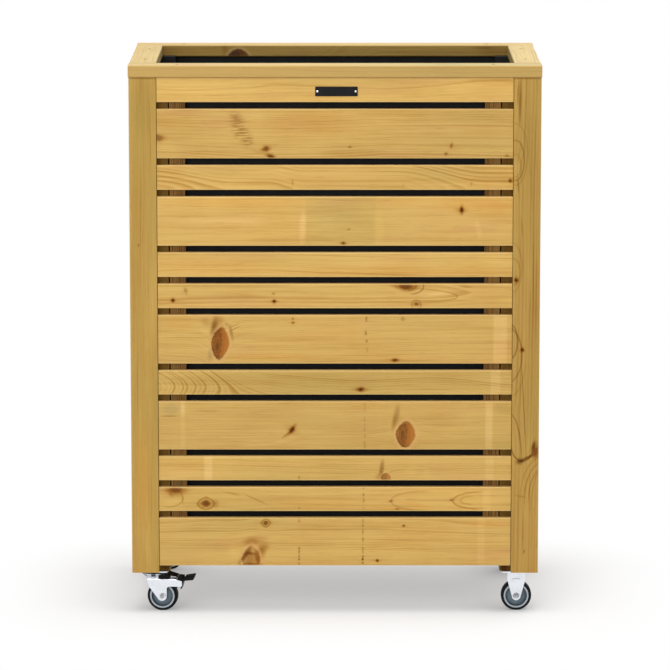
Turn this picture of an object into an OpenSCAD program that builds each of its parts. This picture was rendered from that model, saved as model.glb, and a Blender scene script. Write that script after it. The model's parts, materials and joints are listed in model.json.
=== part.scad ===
// A tall slatted timber planter box on four casters: two that swivel and lock, two that are rigid.
// Millimetres. +Z is up, -Y is the front; the origin is on the floor under the middle of the box.

/* [Body] */
// Overall width, over the rim
rim_w = 800; // [600:10:1200]
// Overall depth, over the rim
rim_d = 440; // [400:10:700]
// Ledge by which the rim stands out past the posts
rim_ledge = 1; // [0:0.5:8]
// Height of the posts' feet below the lowest slats
post_foot = 14; // [5:1:40]

/* [Rim] */
// Width of the rim boards
rim_board_w = 52; // [45:1:70]
// Thickness of the rim boards
rim_board_t = 23; // [15:1:35]

/* [Posts] */
// Side of the square posts
post_w = 75; // [66:1:100]
// Width of the post's face that stays in view beside the slats
post_face = 53; // [45:1:60]
// Radius of the eased edges of posts and rim boards
edge_r = 2.5; // [1:0.5:4]

/* [Slats] */
// Height of the narrow slats
slat_narrow = 48; // [30:1:70]
// Height of the wide slats
slat_wide = 96; // [70:1:140]
// Gap between slats
slat_gap = 13.5; // [5:0.5:25]
// Thickness of the slats
slat_t = 16; // [10:1:25]
// Depth of the slats' faces behind the posts' faces
slat_recess = 2; // [1:0.5:4]
// Clearance at each end of a slat
slat_end_gap = 1; // [0.5:0.5:3]
// Radius of the slats' eased edges
slat_edge_r = 2; // [1:0.5:4]

/* [Battens and floor] */
// Width of the upright battens behind the slats
batten_w = 30; // [20:1:40]
// Thickness of the battens
batten_t = 18; // [12:1:25]
// Gap between a front or rear batten and its post
batten_gap = 3; // [1:0.5:10]
// Distance from the middle of the box to the middle of a side batten
side_batten_y = 98; // [60:1:105]
// Side of the square floor bearers
bearer = 30; // [20:1:45]
// Number of wide floor planks
plank_count = 6; // [4:1:10]
// Gap between floor planks
plank_gap = 12; // [6:1:20]
// Thickness of the floor planks
plank_t = 16; // [10:1:25]

/* [Liner] */
// Wall of the liner
liner_t = 2; // [1:0.5:4]
// Clearance between the liner and the walls
liner_fit = 0.5; // [0.3:0.1:0.9]
// Drop from the rim's underside to the liner's edge
liner_drop = 2; // [1:1:30]
// Radius of the liner's upright corners
liner_corner_r = 5; // [3:1:12]
// Radius of the drain holes
drain_r = 5; // [2:0.5:8]

/* [Label plate] */
// Width of the blank label plate
label_w = 82; // [40:1:120]
// Height of the label plate
label_h = 18.6; // [12:0.2:30]
// Thickness of the label plate
label_t = 1; // [0.5:0.1:2]
// Distance of the plate's middle to the right of the box's middle
label_x = 2.8; // [-50:0.1:50]
// Distance of the plate's middle below the middle of the top slat
label_drop = 3; // [0:0.5:8]
// Inset of the two pins from the plate's ends
pin_inset = 4; // [3:0.5:8]
// Radius of the pins' heads
pin_head_r = 2.2; // [1.2:0.1:2.8]

/* [Screws] */
// Radius of the rim screws' countersunk heads
rim_screw_head_r = 3.8; // [3:0.1:6]
// Radius of every screw's shank
screw_r = 2; // [1.5:0.1:2.5]
// Length of the rim screws
rim_screw_l = 50; // [40:1:80]
// Length of the caster screws, below their heads
caster_screw_l = 30; // [20:1:60]
// Radius of the caster screws' pan heads
pan_r = 4.2; // [3.2:0.1:5]
// Height of the pan heads
pan_h = 2.2; // [1.5:0.1:3]
// Clearance round a screw's shank
screw_fit = 0.05; // [0.02:0.01:0.2]

/* [Wheels] */
// Radius of the wheels
wheel_r = 30; // [25:1:34]
// Width of the tyres
tyre_w = 20; // [16:1:24]
// Thickness of the tyres
tyre_t = 5.5; // [4:0.5:8]
// Radius of the tyres' shoulders
shoulder_r = 4; // [2:0.5:5]
// Radial width of the wheels' rim ring
ring_w = 3.4; // [2:0.2:5]
// Radius of the hub's boss
boss_r = 8; // [6:0.5:10]
// Thickness of the hub's web
web_t = 8; // [5:0.5:12]

/* [Casters] */
// Height of the casters, from the floor to the posts' feet
caster_h = 83; // [80:1:100]
// Distance from the posts' rebates to the middle of the nearest caster screw
screw_margin = 3; // [3:0.5:6]
// Side of the square top plates
plate_w = 60; // [56:1:66]
// Thickness of the top plates
plate_t = 2.5; // [2:0.1:3]
// Distance of the plates' screws from the plates' middle lines
plate_screw = 20; // [19.5:0.5:22]
// Thickness of the forks' steel
steel_t = 2; // [1.5:0.1:2.5]
// Gap between each fork leg and the wheel's boss
leg_gap = 0.3; // [0.1:0.1:0.6]
// Radius of the wheels' axles
axle_r = 3; // [2.5:0.5:4]
// Radius of the axles' flanges
flange_r = 4.9; // [4.5:0.1:6]
// Running clearance round axles and pins
running_fit = 0.05; // [0.02:0.01:0.1]

/* [Swivel] */
// Distance of the wheel's axle behind the kingpin
trail = 18; // [16:1:20]
// Radius of the kingpin
kingpin_r = 5; // [4:0.5:6]
// Radius of the swivel dish at its upper edge
dish_r = 25; // [24:0.5:25.5]
// Number of balls in the swivel bearing
ball_count = 16; // [8:1:18]
// Radius of the balls
ball_r = 2.4; // [2:0.1:2.6]
// Turn of the front left caster, seen from above
front_turn = -7; // [-180:1:180]
// Turn of the rear left caster, seen from above
rear_turn = 18; // [-180:1:180]

/* [Brake] */
// Distance from the kingpin to the end of the fork's brake arms
arm_end = 58; // [56:1:64]
// Length of the pedal past the brake arms
pedal_l = 25; // [18:1:35]
// Width of the pedal
pedal_w = 24; // [16:1:26]
// Travel of the pedal, in degrees
pedal_travel = 18; // [10:1:20]
// Gap that the brake's cam leaves to the tyre with the pedal down
cam_gap = 0.3; // [0.2:0.1:0.6]

/* [Hidden] */

$fn = 48;
// A cut runs this far past the faces that it opens
over = 1;

// Colours
timber = "burlywood";
rim_timber = "navajowhite";
hidden_timber = "peru";
black = "dimgray";
zinc = "gainsboro";
ring_grey = "lightslategray";
rubber = "darkslategray";

// Walls, from the outside in
body_w = rim_w - 2 * rim_ledge;
body_d = rim_d - 2 * rim_ledge;
rebate_d = slat_recess + slat_t;
rebate_w = post_w - post_face;
batten_in = rebate_d + batten_t;

// Slats from the top down: true is a wide slat
rhythm = [false, true, false, true, false, false, true, false, true, false, false, true];
slats = len(rhythm);
function slat_h(n) = rhythm[n] ? slat_wide : slat_narrow;
function heights_from(n) = n >= slats ? 0 : slat_h(n) + (n < slats - 1 ? slat_gap : 0) + heights_from(n + 1);
wall_z = caster_h + post_foot;
wall_h = heights_from(0);
rim_z = wall_z + wall_h;
function slat_z(n) = wall_z + heights_from(n) - slat_h(n);

// Upright battens
front_batten_x = body_w / 2 - post_w - batten_gap - batten_w / 2;
front_batten_y = body_d / 2 - rebate_d - batten_t / 2;
side_batten_x = body_w / 2 - rebate_d - batten_t / 2;

// Floor
inner_w = body_w - 2 * batten_in;
inner_d = body_d - 2 * batten_in;
between_posts_w = body_w - 2 * post_w;
between_posts_d = body_d - 2 * post_w;
floor_z = wall_z + bearer;
liner_z = floor_z + plank_t;
floor_fit = 1;
planks_w = between_posts_w - 4 * floor_fit;
plank_w = (planks_w - (plank_count - 1) * plank_gap) / plank_count;
plank_pitch = plank_w + plank_gap;
drain_y = inner_d / 4;

// Label plate's pins
pin_r = 0.8;
pin_l = 8;
label_face_y = -body_d / 2 + slat_recess;
label_z = slat_z(0) + slat_narrow / 2 - label_drop;

// Caster levels and widths
caster_inset = rebate_d + screw_margin + plate_screw;
caster_x = body_w / 2 - caster_inset;
caster_y = body_d / 2 - caster_inset;
plate_z = caster_h - plate_t;
plate_corner_r = 6;
boss_proud = 2;
boss_w = tyre_w + 2 * boss_proud;
fork_in = boss_w / 2 + leg_gap;
fork_out = fork_in + steel_t;
hub_r = wheel_r - tyre_t;
axle_flange_t = 1.2;
axle_reach = fork_out + axle_flange_t;

// Room between the wheels and the plates, and the shares of it below the crown and in the dish
stack_h = plate_z - 2 * wheel_r;
crown_share = 6.5 / 20.5;
dish_share = 9.7 / 20.5;

// Fork of the swivel casters: crown, legs and brake arms, seen from the side
crown_top = 2 * wheel_r + crown_share * stack_h;
crown_z = crown_top - steel_t;
crown_back = -13;
leg_r = 9.5;
knee_x = -7;
knee_drop = 18.5;
knee = [knee_x, crown_top - knee_drop];
arm_h = 16.5;
arm_low = crown_top - arm_h;
arm_start = 38;
arm_drop = 5.5;
arm_corner = 3;
arm_fillet = 6;
bend_r = 3.5;

// Swivel bearing: a dish on the fork, balls in it, and a bead pressed into the plate above
dish_floor_r = 14.5;
dish_h = dish_share * stack_h;
dish_top = crown_top + dish_h;
dish_t = 1.4;
race_slope = atan2(dish_top - crown_top, dish_r - dish_t - dish_floor_r);
race_run = 3.6;
ball_off = ball_r + running_fit;
ball_ring = dish_floor_r + race_run * cos(race_slope) - ball_off * sin(race_slope);
ball_z = crown_top + race_run * sin(race_slope) + ball_off * cos(race_slope);
bead_gap = 0.3;
bead_z = ball_z + ball_r + bead_gap;
bead_flat = 2.7;
bead_side = 3;
kingpin_head_r = 8.5;
head_gap = 0.3;
head_share = 3 / 4.2;
kingpin_head_h = head_share * (crown_z - head_gap - 2 * wheel_r);

// Brake: the pedal rocks on stub pins that end in the fork's arms, and its cam faces the tyre
brake_margin = 7;
brake_x = arm_end - brake_margin;
brake_z = arm_low + brake_margin;
stub_r = 2.5;
stub_reach = fork_in + 0.65 * steel_t;
rocker_r = 5.5;
rocker_gap = 0.5;
cam_r = 3;
cam_full = atan2(brake_x - trail, brake_z - wheel_r);
cam_reach = norm([brake_x - trail, brake_z - wheel_r]) - wheel_r - cam_gap - cam_r;
cam_rest = cam_full - pedal_travel;
housing_drop = 0.4;
housing_z = dish_top - housing_drop;
housing_gap = 1.3;
housing_w = 46;

// Bracket of the rigid casters
bracket_leg_w = 35.6;
bracket_leg_z = 63;
bracket_tip_r = 8.6;
emboss_t = 0.6;
emboss_in = 3.6;

// --- Helpers -------------------------------------------------------------------------------------

// Rectangle w by h with its corner at the origin and round corners
module eased(w, h, r) {
    translate([r, 0]) square([w - 2 * r, h]);
    translate([0, r]) square([w, h - 2 * r]);
    for (x = [r, w - r], y = [r, h - r]) translate([x, y]) circle(r);
}

// Bars with eased long edges: length along X or Y, w across, h up
module bar_x(l, w, h, r) {
    rotate([90, 0, 90]) linear_extrude(l, center = true) eased(w, h, r);
}

module bar_y(l, w, h, r) {
    rotate([90, 0, 0]) linear_extrude(l, center = true) eased(w, h, r);
}

// Outline in X and Z, extruded evenly to both sides of the XZ plane
module side_plate(t) {
    rotate([90, 0, 0]) linear_extrude(t, center = true) children();
}

module box_between(low, high) {
    translate(low) cube(high - low);
}

// Point where the line from p touches the circle at c on its lower left side. It lies a little
// inside, so that the line crosses the circle clearly
touch_in = 0.1;
function touch_point(p, c, r) =
    let (in_r = r - touch_in, d = c - p, l = sqrt(d * d - in_r * in_r), a = atan2(d.y, d.x) - asin(in_r / norm(d)))
    p + l * [cos(a), sin(a)];

// --- Box -----------------------------------------------------------------------------------------

// A post stands with its outer corner at sx, sy; rebates on both outer faces take the slats' ends
module post(sx, sy) {
    color(timber) difference() {
        mirror([sx < 0 ? 1 : 0, 0, 0]) mirror([0, sy < 0 ? 1 : 0, 0])
            translate([body_w / 2 - post_w, body_d / 2 - post_w, caster_h])
                linear_extrude(rim_z - caster_h) difference() {
                    eased(post_w, post_w, edge_r);
                    translate([-over, post_w - rebate_d]) square([rebate_w + over, rebate_d + over]);
                    translate([post_w - rebate_d, -over]) square([rebate_d + over, rebate_w + over]);
                }
        plate_screw_places(sx, sy) cylinder(h = caster_screw_l, r = screw_r + screw_fit);
    }
}

module wall_slat_x(n) {
    slat_l = body_w - 2 * post_face - 2 * slat_end_gap;
    translate([0, -body_d / 2 + slat_recess, slat_z(n)]) bar_x(slat_l, slat_t, slat_h(n), slat_edge_r);
}

module wall_slat_y(n) {
    slat_l = body_d - 2 * post_face - 2 * slat_end_gap;
    translate([-body_w / 2 + slat_recess, 0, slat_z(n)]) bar_y(slat_l, slat_t, slat_h(n), slat_edge_r);
}

// Front slat n, counted from 0 at the top; the top one is drilled for the label plate's pins
module front_slat(n) {
    color(timber) difference() {
        wall_slat_x(n);
        if (n == 0) label_pin_places() cylinder(h = pin_l, r = pin_r + screw_fit);
    }
}

module rear_slats() {
    color(timber) mirror([0, 1, 0]) for (n = [0 : slats - 1]) wall_slat_x(n);
}

module left_slats() {
    color(timber) for (n = [0 : slats - 1]) wall_slat_y(n);
}

module right_slats() {
    color(timber) mirror([1, 0, 0]) for (n = [0 : slats - 1]) wall_slat_y(n);
}

// Front battens, or the rear ones with y = 1
module batten_pair_x(y) {
    color(hidden_timber) difference() {
        for (x = [-1, 1])
            translate([x * front_batten_x - batten_w / 2, y * front_batten_y - batten_t / 2, wall_z])
                cube([batten_w, batten_t, wall_h]);
        rim_screw_places() rim_screw_hole();
    }
}

module batten_pair_y(x) {
    color(hidden_timber) difference() {
        for (y = [-1, 1])
            translate([x * side_batten_x - batten_t / 2, y * side_batten_y - batten_w / 2, wall_z])
                cube([batten_t, batten_w, wall_h]);
        rim_screw_places() rim_screw_hole();
    }
}

// Bearers along the walls' feet, cut short of the posts
module floor_bearers() {
    long = between_posts_w - 2 * floor_fit;
    short = between_posts_d - 2 * floor_fit;
    color(hidden_timber) {
        for (y = [-inner_d / 2, inner_d / 2 - bearer])
            translate([-long / 2, y, wall_z]) cube([long, bearer, bearer]);
        for (x = [-inner_w / 2, inner_w / 2 - bearer])
            translate([x, -short / 2, wall_z]) cube([bearer, short, bearer]);
    }
}

module floor_planks() {
    short = between_posts_d - 2 * floor_fit;
    long = inner_d - 2 * floor_fit;
    end_w = (inner_w - between_posts_w) / 2 - floor_fit;
    color(hidden_timber) {
        for (n = [0 : plank_count - 1])
            translate([-planks_w / 2 + n * plank_pitch, -long / 2, floor_z]) cube([plank_w, long, plank_t]);
        for (x = [-1, 1])
            translate([x * (inner_w / 2 - floor_fit - end_w / 2) - end_w / 2, -short / 2, floor_z])
                cube([end_w, short, plank_t]);
    }
}

// Outline of the liner, notched round the posts; inset narrows it all round
module liner_outline(inset) {
    r = liner_corner_r - inset;
    for (size = [
        [inner_w - 2 * liner_fit, between_posts_d - 2 * liner_fit],
        [between_posts_w - 2 * liner_fit, inner_d - 2 * liner_fit]
    ]) {
        w = size.x - 2 * inset;
        d = size.y - 2 * inset;
        translate([-w / 2, -d / 2]) eased(w, d, r);
    }
}

// Flap over the top of the post at the right rear corner, inside the rim's opening
module liner_flap() {
    low = [between_posts_w / 2 - liner_fit - liner_t, between_posts_d / 2 - liner_fit - liner_t];
    high = [rim_w / 2 - rim_board_w - liner_fit, rim_d / 2 - rim_board_w - liner_fit];
    stand_z = rim_z - liner_drop - over;
    flap_z = rim_z + liner_fit;
    top_z = flap_z + liner_t;
    box_between([low.x, low.y, flap_z], [high.x, high.y, top_z]);
    box_between([low.x, low.y, stand_z], [low.x + liner_t, high.y, top_z]);
    box_between([low.x, low.y, stand_z], [high.x, low.y + liner_t, top_z]);
}

module liner() {
    liner_h = rim_z - liner_drop - liner_z;
    color(black) {
        translate([0, 0, liner_z]) difference() {
            linear_extrude(liner_h) liner_outline(0);
            translate([0, 0, liner_t]) linear_extrude(liner_h) liner_outline(liner_t);
            for (n = [1 : plank_count - 1], y = [-drain_y, drain_y])
                translate([-planks_w / 2 + n * plank_pitch - plank_gap / 2, y, -over])
                    cylinder(h = liner_t + 2 * over, r = drain_r);
        }
        for (x = [0, 1], y = [0, 1]) mirror([x, 0, 0]) mirror([0, y, 0]) liner_flap();
    }
}

// --- Rim -----------------------------------------------------------------------------------------

module rim_rail(y) {
    color(rim_timber) difference() {
        translate([0, y * (rim_d - rim_board_w) / 2 - rim_board_w / 2, rim_z])
            bar_x(rim_w, rim_board_w, rim_board_t, edge_r);
        rim_screw_places() rim_screw_hole();
    }
}

module rim_side(x) {
    color(rim_timber) difference() {
        translate([x * (rim_w - rim_board_w) / 2 - rim_board_w / 2, 0, rim_z])
            bar_y(rim_d - 2 * rim_board_w, rim_board_w, rim_board_t, edge_r);
        rim_screw_places() rim_screw_hole();
    }
}

module rim_screw_places() {
    for (x = [-1, 1], y = [-1, 1]) {
        translate([x * front_batten_x, y * front_batten_y, rim_z + rim_board_t]) children();
        translate([x * side_batten_x, y * side_batten_y, rim_z + rim_board_t]) children();
    }
}

// Countersunk screw of shank radius r, its head's top at the origin
module countersunk(r, head_r, l, top) {
    translate([0, 0, -l]) cylinder(h = l, r = r);
    translate([0, 0, r - head_r]) cylinder(h = head_r - r, r1 = r, r2 = head_r);
    cylinder(h = top, r = head_r);
}

module rim_screw_hole() {
    countersunk(screw_r + screw_fit, rim_screw_head_r + screw_fit, rim_screw_l + over, over);
}

module rim_screws() {
    sink = 0.2;
    recess_r = 1.2;
    recess_d = 1;
    color(zinc) rim_screw_places() translate([0, 0, -sink]) difference() {
        countersunk(screw_r, rim_screw_head_r - sink, rim_screw_l - sink, 0);
        translate([0, 0, -recess_d]) cylinder(h = recess_d + over, r = recess_r, $fn = 6);
    }
}

// --- Label plate ---------------------------------------------------------------------------------

module label_pin_places() {
    for (x = [-1, 1])
        translate([label_x + x * (label_w / 2 - pin_inset), label_face_y, label_z])
            rotate([-90, 0, 0]) children();
}

module label_plate() {
    color(black) difference() {
        translate([label_x - label_w / 2, label_face_y, label_z - label_h / 2])
            rotate([90, 0, 0]) linear_extrude(label_t) eased(label_w, label_h, label_t);
        label_pin_places() translate([0, 0, -label_t - over])
            cylinder(h = label_t + 2 * over, r = pin_r + screw_fit);
    }
}

module label_pins() {
    dome_r = pin_head_r * 1.25;
    color(zinc) label_pin_places() {
        translate([0, 0, -label_t]) cylinder(h = pin_l + label_t - over, r = pin_r);
        intersection() {
            translate([0, 0, -label_t - over]) cylinder(h = over, r = pin_head_r);
            translate([0, 0, -label_t - over + dome_r]) sphere(dome_r);
        }
    }
}

// --- Casters -------------------------------------------------------------------------------------

module at_caster(sx, sy, turn) {
    translate([sx * caster_x, sy * caster_y, 0]) rotate(turn) children();
}

// The four screw places of one plate, at the posts' feet
module plate_screw_places(sx, sy) {
    at_caster(sx, sy, 0) for (x = [-1, 1], y = [-1, 1])
        translate([x * plate_screw, y * plate_screw, caster_h]) children();
}

module caster_screws() {
    dome_r = 1.5 * pan_r;
    color(zinc) for (sx = [-1, 1], sy = [-1, 1]) plate_screw_places(sx, sy) {
        translate([0, 0, -plate_t]) cylinder(h = caster_screw_l + plate_t - over, r = screw_r);
        intersection() {
            translate([0, 0, -plate_t - pan_h]) cylinder(h = pan_h, r = pan_r);
            translate([0, 0, -plate_t - pan_h + dome_r]) sphere(dome_r);
        }
    }
}

// Square plate with round corners and its four holes
module top_plate() {
    hole_fit = 0.3;
    difference() {
        translate([-plate_w / 2, -plate_w / 2, plate_z])
            linear_extrude(plate_t) eased(plate_w, plate_w, plate_corner_r);
        for (x = [-1, 1], y = [-1, 1])
            translate([x * plate_screw, y * plate_screw, plate_z - over])
                cylinder(h = plate_t + 2 * over, r = screw_r + hole_fit);
    }
}

// Plate of a swivel caster, with the bead pressed down over the balls
module swivel_plate(sy) {
    low_in = ball_ring - bead_flat;
    low_out = ball_ring + bead_flat;
    color(zinc) at_caster(-1, sy, 0) difference() {
        union() {
            top_plate();
            rotate_extrude() polygon([
                [low_in - bead_side, plate_z], [low_in, bead_z], [low_out, bead_z],
                [low_out + bead_side, plate_z], [low_out + bead_side, plate_z + over],
                [low_in - bead_side, plate_z + over]
            ]);
        }
        rotate_extrude() polygon([
            [low_in - bead_side / 2, caster_h + over], [low_in - bead_side / 2, caster_h],
            [low_in + bead_side / 2, bead_z + steel_t], [low_out - bead_side / 2, bead_z + steel_t],
            [low_out + bead_side / 2, caster_h], [low_out + bead_side / 2, caster_h + over]
        ]);
        translate([0, 0, plate_z - over]) cylinder(h = plate_t + 2 * over, r = kingpin_r + running_fit);
    }
}

// Rivet through plate and fork, flush with the plate's top
module kingpin(sy) {
    head_z = crown_z - head_gap - kingpin_head_h;
    bevel = kingpin_head_h / 3;
    color(zinc) at_caster(-1, sy, 0) {
        translate([0, 0, head_z + bevel]) cylinder(h = caster_h - head_z - bevel, r = kingpin_r);
        translate([0, 0, head_z + bevel]) cylinder(h = kingpin_head_h - bevel, r = kingpin_head_r);
        translate([0, 0, head_z]) cylinder(h = bevel, r1 = kingpin_head_r - bevel, r2 = kingpin_head_r);
    }
}

module balls(sy, turn) {
    color(zinc) at_caster(-1, sy, turn) for (n = [0 : ball_count - 1])
        rotate(n * 360 / ball_count) translate([ball_ring, 0, ball_z]) sphere(ball_r);
}

// Section of the folded steel, across the wheel: a channel open at the bottom
module channel_section(top) {
    difference() {
        channel_outline(fork_out, top, bend_r);
        channel_outline(fork_in, top - steel_t, bend_r - steel_t);
    }
}

module channel_outline(half, top, r) {
    translate([-half, 0]) square([2 * half, top - r]);
    translate([r - half, 0]) square([2 * (half - r), top]);
    for (s = [-1, 1]) translate([s * (half - r), top - r]) circle(r);
}

// Side view of the fork: crown, tapered leg and brake arm
module fork_outline() {
    axle = [trail, wheel_r];
    leg_edge = trail + leg_r;
    polygon([
        [crown_back, crown_top], [arm_start, crown_top], [arm_end, crown_top - arm_drop],
        [arm_end, arm_low + arm_corner], [arm_end - arm_corner, arm_low],
        [leg_edge, arm_low], [leg_edge, wheel_r], axle,
        touch_point(knee, axle, leg_r), knee
    ]);
    translate(axle) circle(leg_r);
    translate([arm_end - arm_corner, arm_low + arm_corner]) circle(arm_corner);
    difference() {
        translate([leg_edge, arm_low - arm_fillet]) square(arm_fillet);
        translate([leg_edge + arm_fillet, arm_low - arm_fillet]) circle(arm_fillet);
    }
}

// Conical dish on the crown, in which the balls run
module swivel_dish() {
    rotate_extrude() polygon([
        [0, crown_z], [dish_floor_r, crown_z], [dish_r, dish_top - over], [dish_r, dish_top],
        [dish_r - dish_t, dish_top], [dish_floor_r, crown_top], [0, crown_top]
    ]);
}

module fork(sy, turn) {
    arm_cut = arm_end - arm_start + over;
    reach = 4 * arm_end;
    color(zinc) at_caster(-1, sy, turn) difference() {
        union() {
            intersection() {
                rotate([90, 0, 90]) linear_extrude(reach, center = true) channel_section(crown_top);
                side_plate(2 * fork_out + over) fork_outline();
            }
            swivel_dish();
        }
        translate([arm_start, -fork_in, arm_low]) cube([arm_cut, 2 * fork_in, crown_top]);
        translate([0, 0, crown_z - over]) cylinder(h = steel_t + 2 * over, r = kingpin_r + running_fit);
        translate([trail, 0, wheel_r]) cross_bore(fork_out + over, axle_r + running_fit);
        translate([brake_x, 0, brake_z]) cross_bore(stub_reach + running_fit, stub_r + running_fit);
    }
}

// Bore along Y, to the same reach on both sides
module cross_bore(reach, r) {
    rotate([90, 0, 0]) cylinder(h = 2 * reach, r = r, center = true);
}

// Riveted axle across the fork, at x behind the caster's middle; a flange and a dome at each end
module axle(sx, sy, turn, x) {
    dome_h = 1.4;
    color(zinc) at_caster(sx, sy, turn) translate([x, 0, wheel_r]) rotate([90, 0, 0]) {
        cylinder(h = 2 * axle_reach, r = axle_r, center = true);
        for (s = [0, 1]) mirror([0, 0, s]) {
            translate([0, 0, fork_out]) cylinder(h = axle_flange_t, r = flange_r);
            translate([0, 0, axle_reach]) cylinder(h = dome_h, r1 = axle_r, r2 = axle_r / 2);
        }
    }
}

// Hub: boss, recessed web and rim ring
module hub(sx, sy, turn, x) {
    ring_in = hub_r - ring_w;
    web_side = 1.5;
    half = [
        [boss_r, boss_w / 2], [boss_r + web_side, web_t / 2], [ring_in - web_side, web_t / 2],
        [ring_in, tyre_w / 2], [hub_r - running_fit, tyre_w / 2]
    ];
    bore_r = axle_r + running_fit;
    color(ring_grey) at_caster(sx, sy, turn) translate([x, 0, wheel_r]) rotate([90, 0, 0])
        rotate_extrude() polygon(concat(
            [[bore_r, boss_w / 2]], half,
            [for (i = [len(half) - 1 : -1 : 0]) [half[i].x, -half[i].y]], [[bore_r, -boss_w / 2]]
        ));
}

module tyre(sx, sy, turn, x) {
    color(rubber) at_caster(sx, sy, turn) translate([x, 0, wheel_r]) rotate([90, 0, 0])
        rotate_extrude() difference() {
            union() {
                translate([hub_r, -tyre_w / 2]) square([tyre_t - shoulder_r, tyre_w]);
                translate([hub_r, shoulder_r - tyre_w / 2]) square([tyre_t, tyre_w - 2 * shoulder_r]);
                for (s = [-1, 1])
                    translate([wheel_r - shoulder_r, s * (tyre_w / 2 - shoulder_r)]) circle(shoulder_r);
            }
            translate([hub_r - shoulder_r, -tyre_w]) square([shoulder_r, 2 * tyre_w]);
        }
}

// --- Brake ---------------------------------------------------------------------------------------

// Black housing on the crown: it hugs the dish and covers the way to the pedal
module brake_housing(sy, turn) {
    front_x = 10;
    front_top = crown_top + 0.75 * dish_h;
    hump_x = 21;
    end_x = brake_x - 2.6;
    end_top = crown_top + 0.39 * dish_h;
    window_top = crown_top + 0.27 * dish_h;
    color(black) at_caster(-1, sy, turn) difference() {
        intersection() {
            side_plate(housing_w + over) polygon([
                [front_x, crown_top], [arm_start, crown_top], [arm_start, window_top],
                [end_x, window_top], [end_x, end_top], [hump_x, housing_z], [front_x, front_top]
            ]);
            linear_extrude(caster_h) polygon([
                [front_x, -housing_w / 2], [hump_x, -housing_w / 2], [end_x, -fork_out],
                [end_x, fork_out], [hump_x, housing_w / 2], [front_x, housing_w / 2]
            ]);
        }
        translate([0, 0, crown_z]) cylinder(h = caster_h, r = dish_r + housing_gap);
    }
}

// Pedal, rocker with stub pins, cam towards the tyre and a tongue behind it, in one moulding
module brake_pedal(sy, turn) {
    pivot = [brake_x, brake_z];
    rocker_w = 2 * (fork_in - rocker_gap);
    tread_x = arm_end + 2.4;
    tread_end = arm_end + pedal_l;
    lip_x = tread_end - 3;
    neck_z = brake_z + 4.5;
    neck_top = neck_z + 8;
    lip_low = neck_z + 2;
    lip_top = neck_z + 11;
    back_x = brake_x - 1.6;
    back_top = brake_z + 13;
    tongue_t = 2;
    tongue_low = [arm_end - 3.4, arm_low - 5];
    tongue_top = [arm_end + 1.2, brake_z + 5];
    color(black) at_caster(-1, sy, turn) {
        side_plate(rocker_w) {
            translate(pivot) circle(rocker_r);
            polygon([
                [back_x, brake_z], [back_x, back_top], [tread_x, neck_top], [tread_x, neck_z],
                [brake_x + stub_r, brake_z]
            ]);
            polygon([
                tongue_low, tongue_low + [tongue_t, 0], tongue_top + [tongue_t, 0],
                tongue_top - [tongue_t, 0]
            ]);
            cam_arm(pivot);
        }
        side_plate(pedal_w) polygon([
            [tread_x - over, neck_z], [lip_x, lip_low], [tread_end, lip_top - over / 2],
            [lip_x, lip_top], [tread_x + pedal_l / 8, neck_top]
        ]);
        translate([brake_x, 0, brake_z]) cross_bore(stub_reach, stub_r);
    }
}

// Arm from the pivot to the round cam that nears the tyre when the pedal goes down
module cam_arm(pivot) {
    dir = [-sin(cam_rest), -cos(cam_rest)];
    side = [dir.y, -dir.x] * cam_r;
    tip = pivot + cam_reach * dir;
    translate(tip) circle(cam_r);
    polygon([pivot + side, tip + side, tip - side, pivot - side]);
}

// --- Rigid bracket -------------------------------------------------------------------------------

// Side view of a rigid leg, tapering from its shoulder to the round end; inset narrows it all round
module bracket_leg(inset) {
    axle = [0, wheel_r];
    tip_r = bracket_tip_r - inset;
    shoulder = [-bracket_leg_w / 2 + inset, bracket_leg_z];
    touch = touch_point(shoulder, axle, tip_r);
    translate(axle) circle(tip_r);
    polygon([
        [shoulder.x, plate_z + plate_t / 2], shoulder, touch, axle,
        [-touch.x, touch.y], [-shoulder.x, shoulder.y], [-shoulder.x, plate_z + plate_t / 2]
    ]);
}

// Section of the rigid legs across the wheel, with a round corner between each leg and the plate
module leg_section(r) {
    for (s = [0, 1]) mirror([s, 0]) {
        translate([fork_in, 0]) square([steel_t, plate_z + plate_t / 2]);
        difference() {
            translate([fork_in, plate_z - r]) square([steel_t + r, r + plate_t / 2]);
            translate([fork_out + r, plate_z - r]) circle(r);
        }
    }
}

// Plate with two legs folded down from it; a shallow panel is pressed into each leg
module bracket(sy) {
    fold_r = 1.4;
    panel_top = bracket_leg_z + 2.5;
    panel_arch = 26;
    panel_low = wheel_r + flange_r + 2;
    color(zinc) at_caster(1, sy, 0) difference() {
        union() {
            top_plate();
            intersection() {
                rotate([90, 0, 90]) linear_extrude(plate_w, center = true) leg_section(fold_r);
                side_plate(plate_w) bracket_leg(0);
            }
        }
        for (s = [-1, 1]) translate([0, s * (fork_out + over - emboss_t), 0]) side_plate(2 * over)
            intersection() {
                bracket_leg(emboss_in);
                translate([0, panel_top - panel_arch]) circle(panel_arch);
                translate([-plate_w / 2, panel_low]) square([plate_w, plate_z]);
            }
        translate([0, 0, wheel_r]) cross_bore(fork_out + over, axle_r + running_fit);
    }
}

// --- Nodes ---------------------------------------------------------------------------------------

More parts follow.
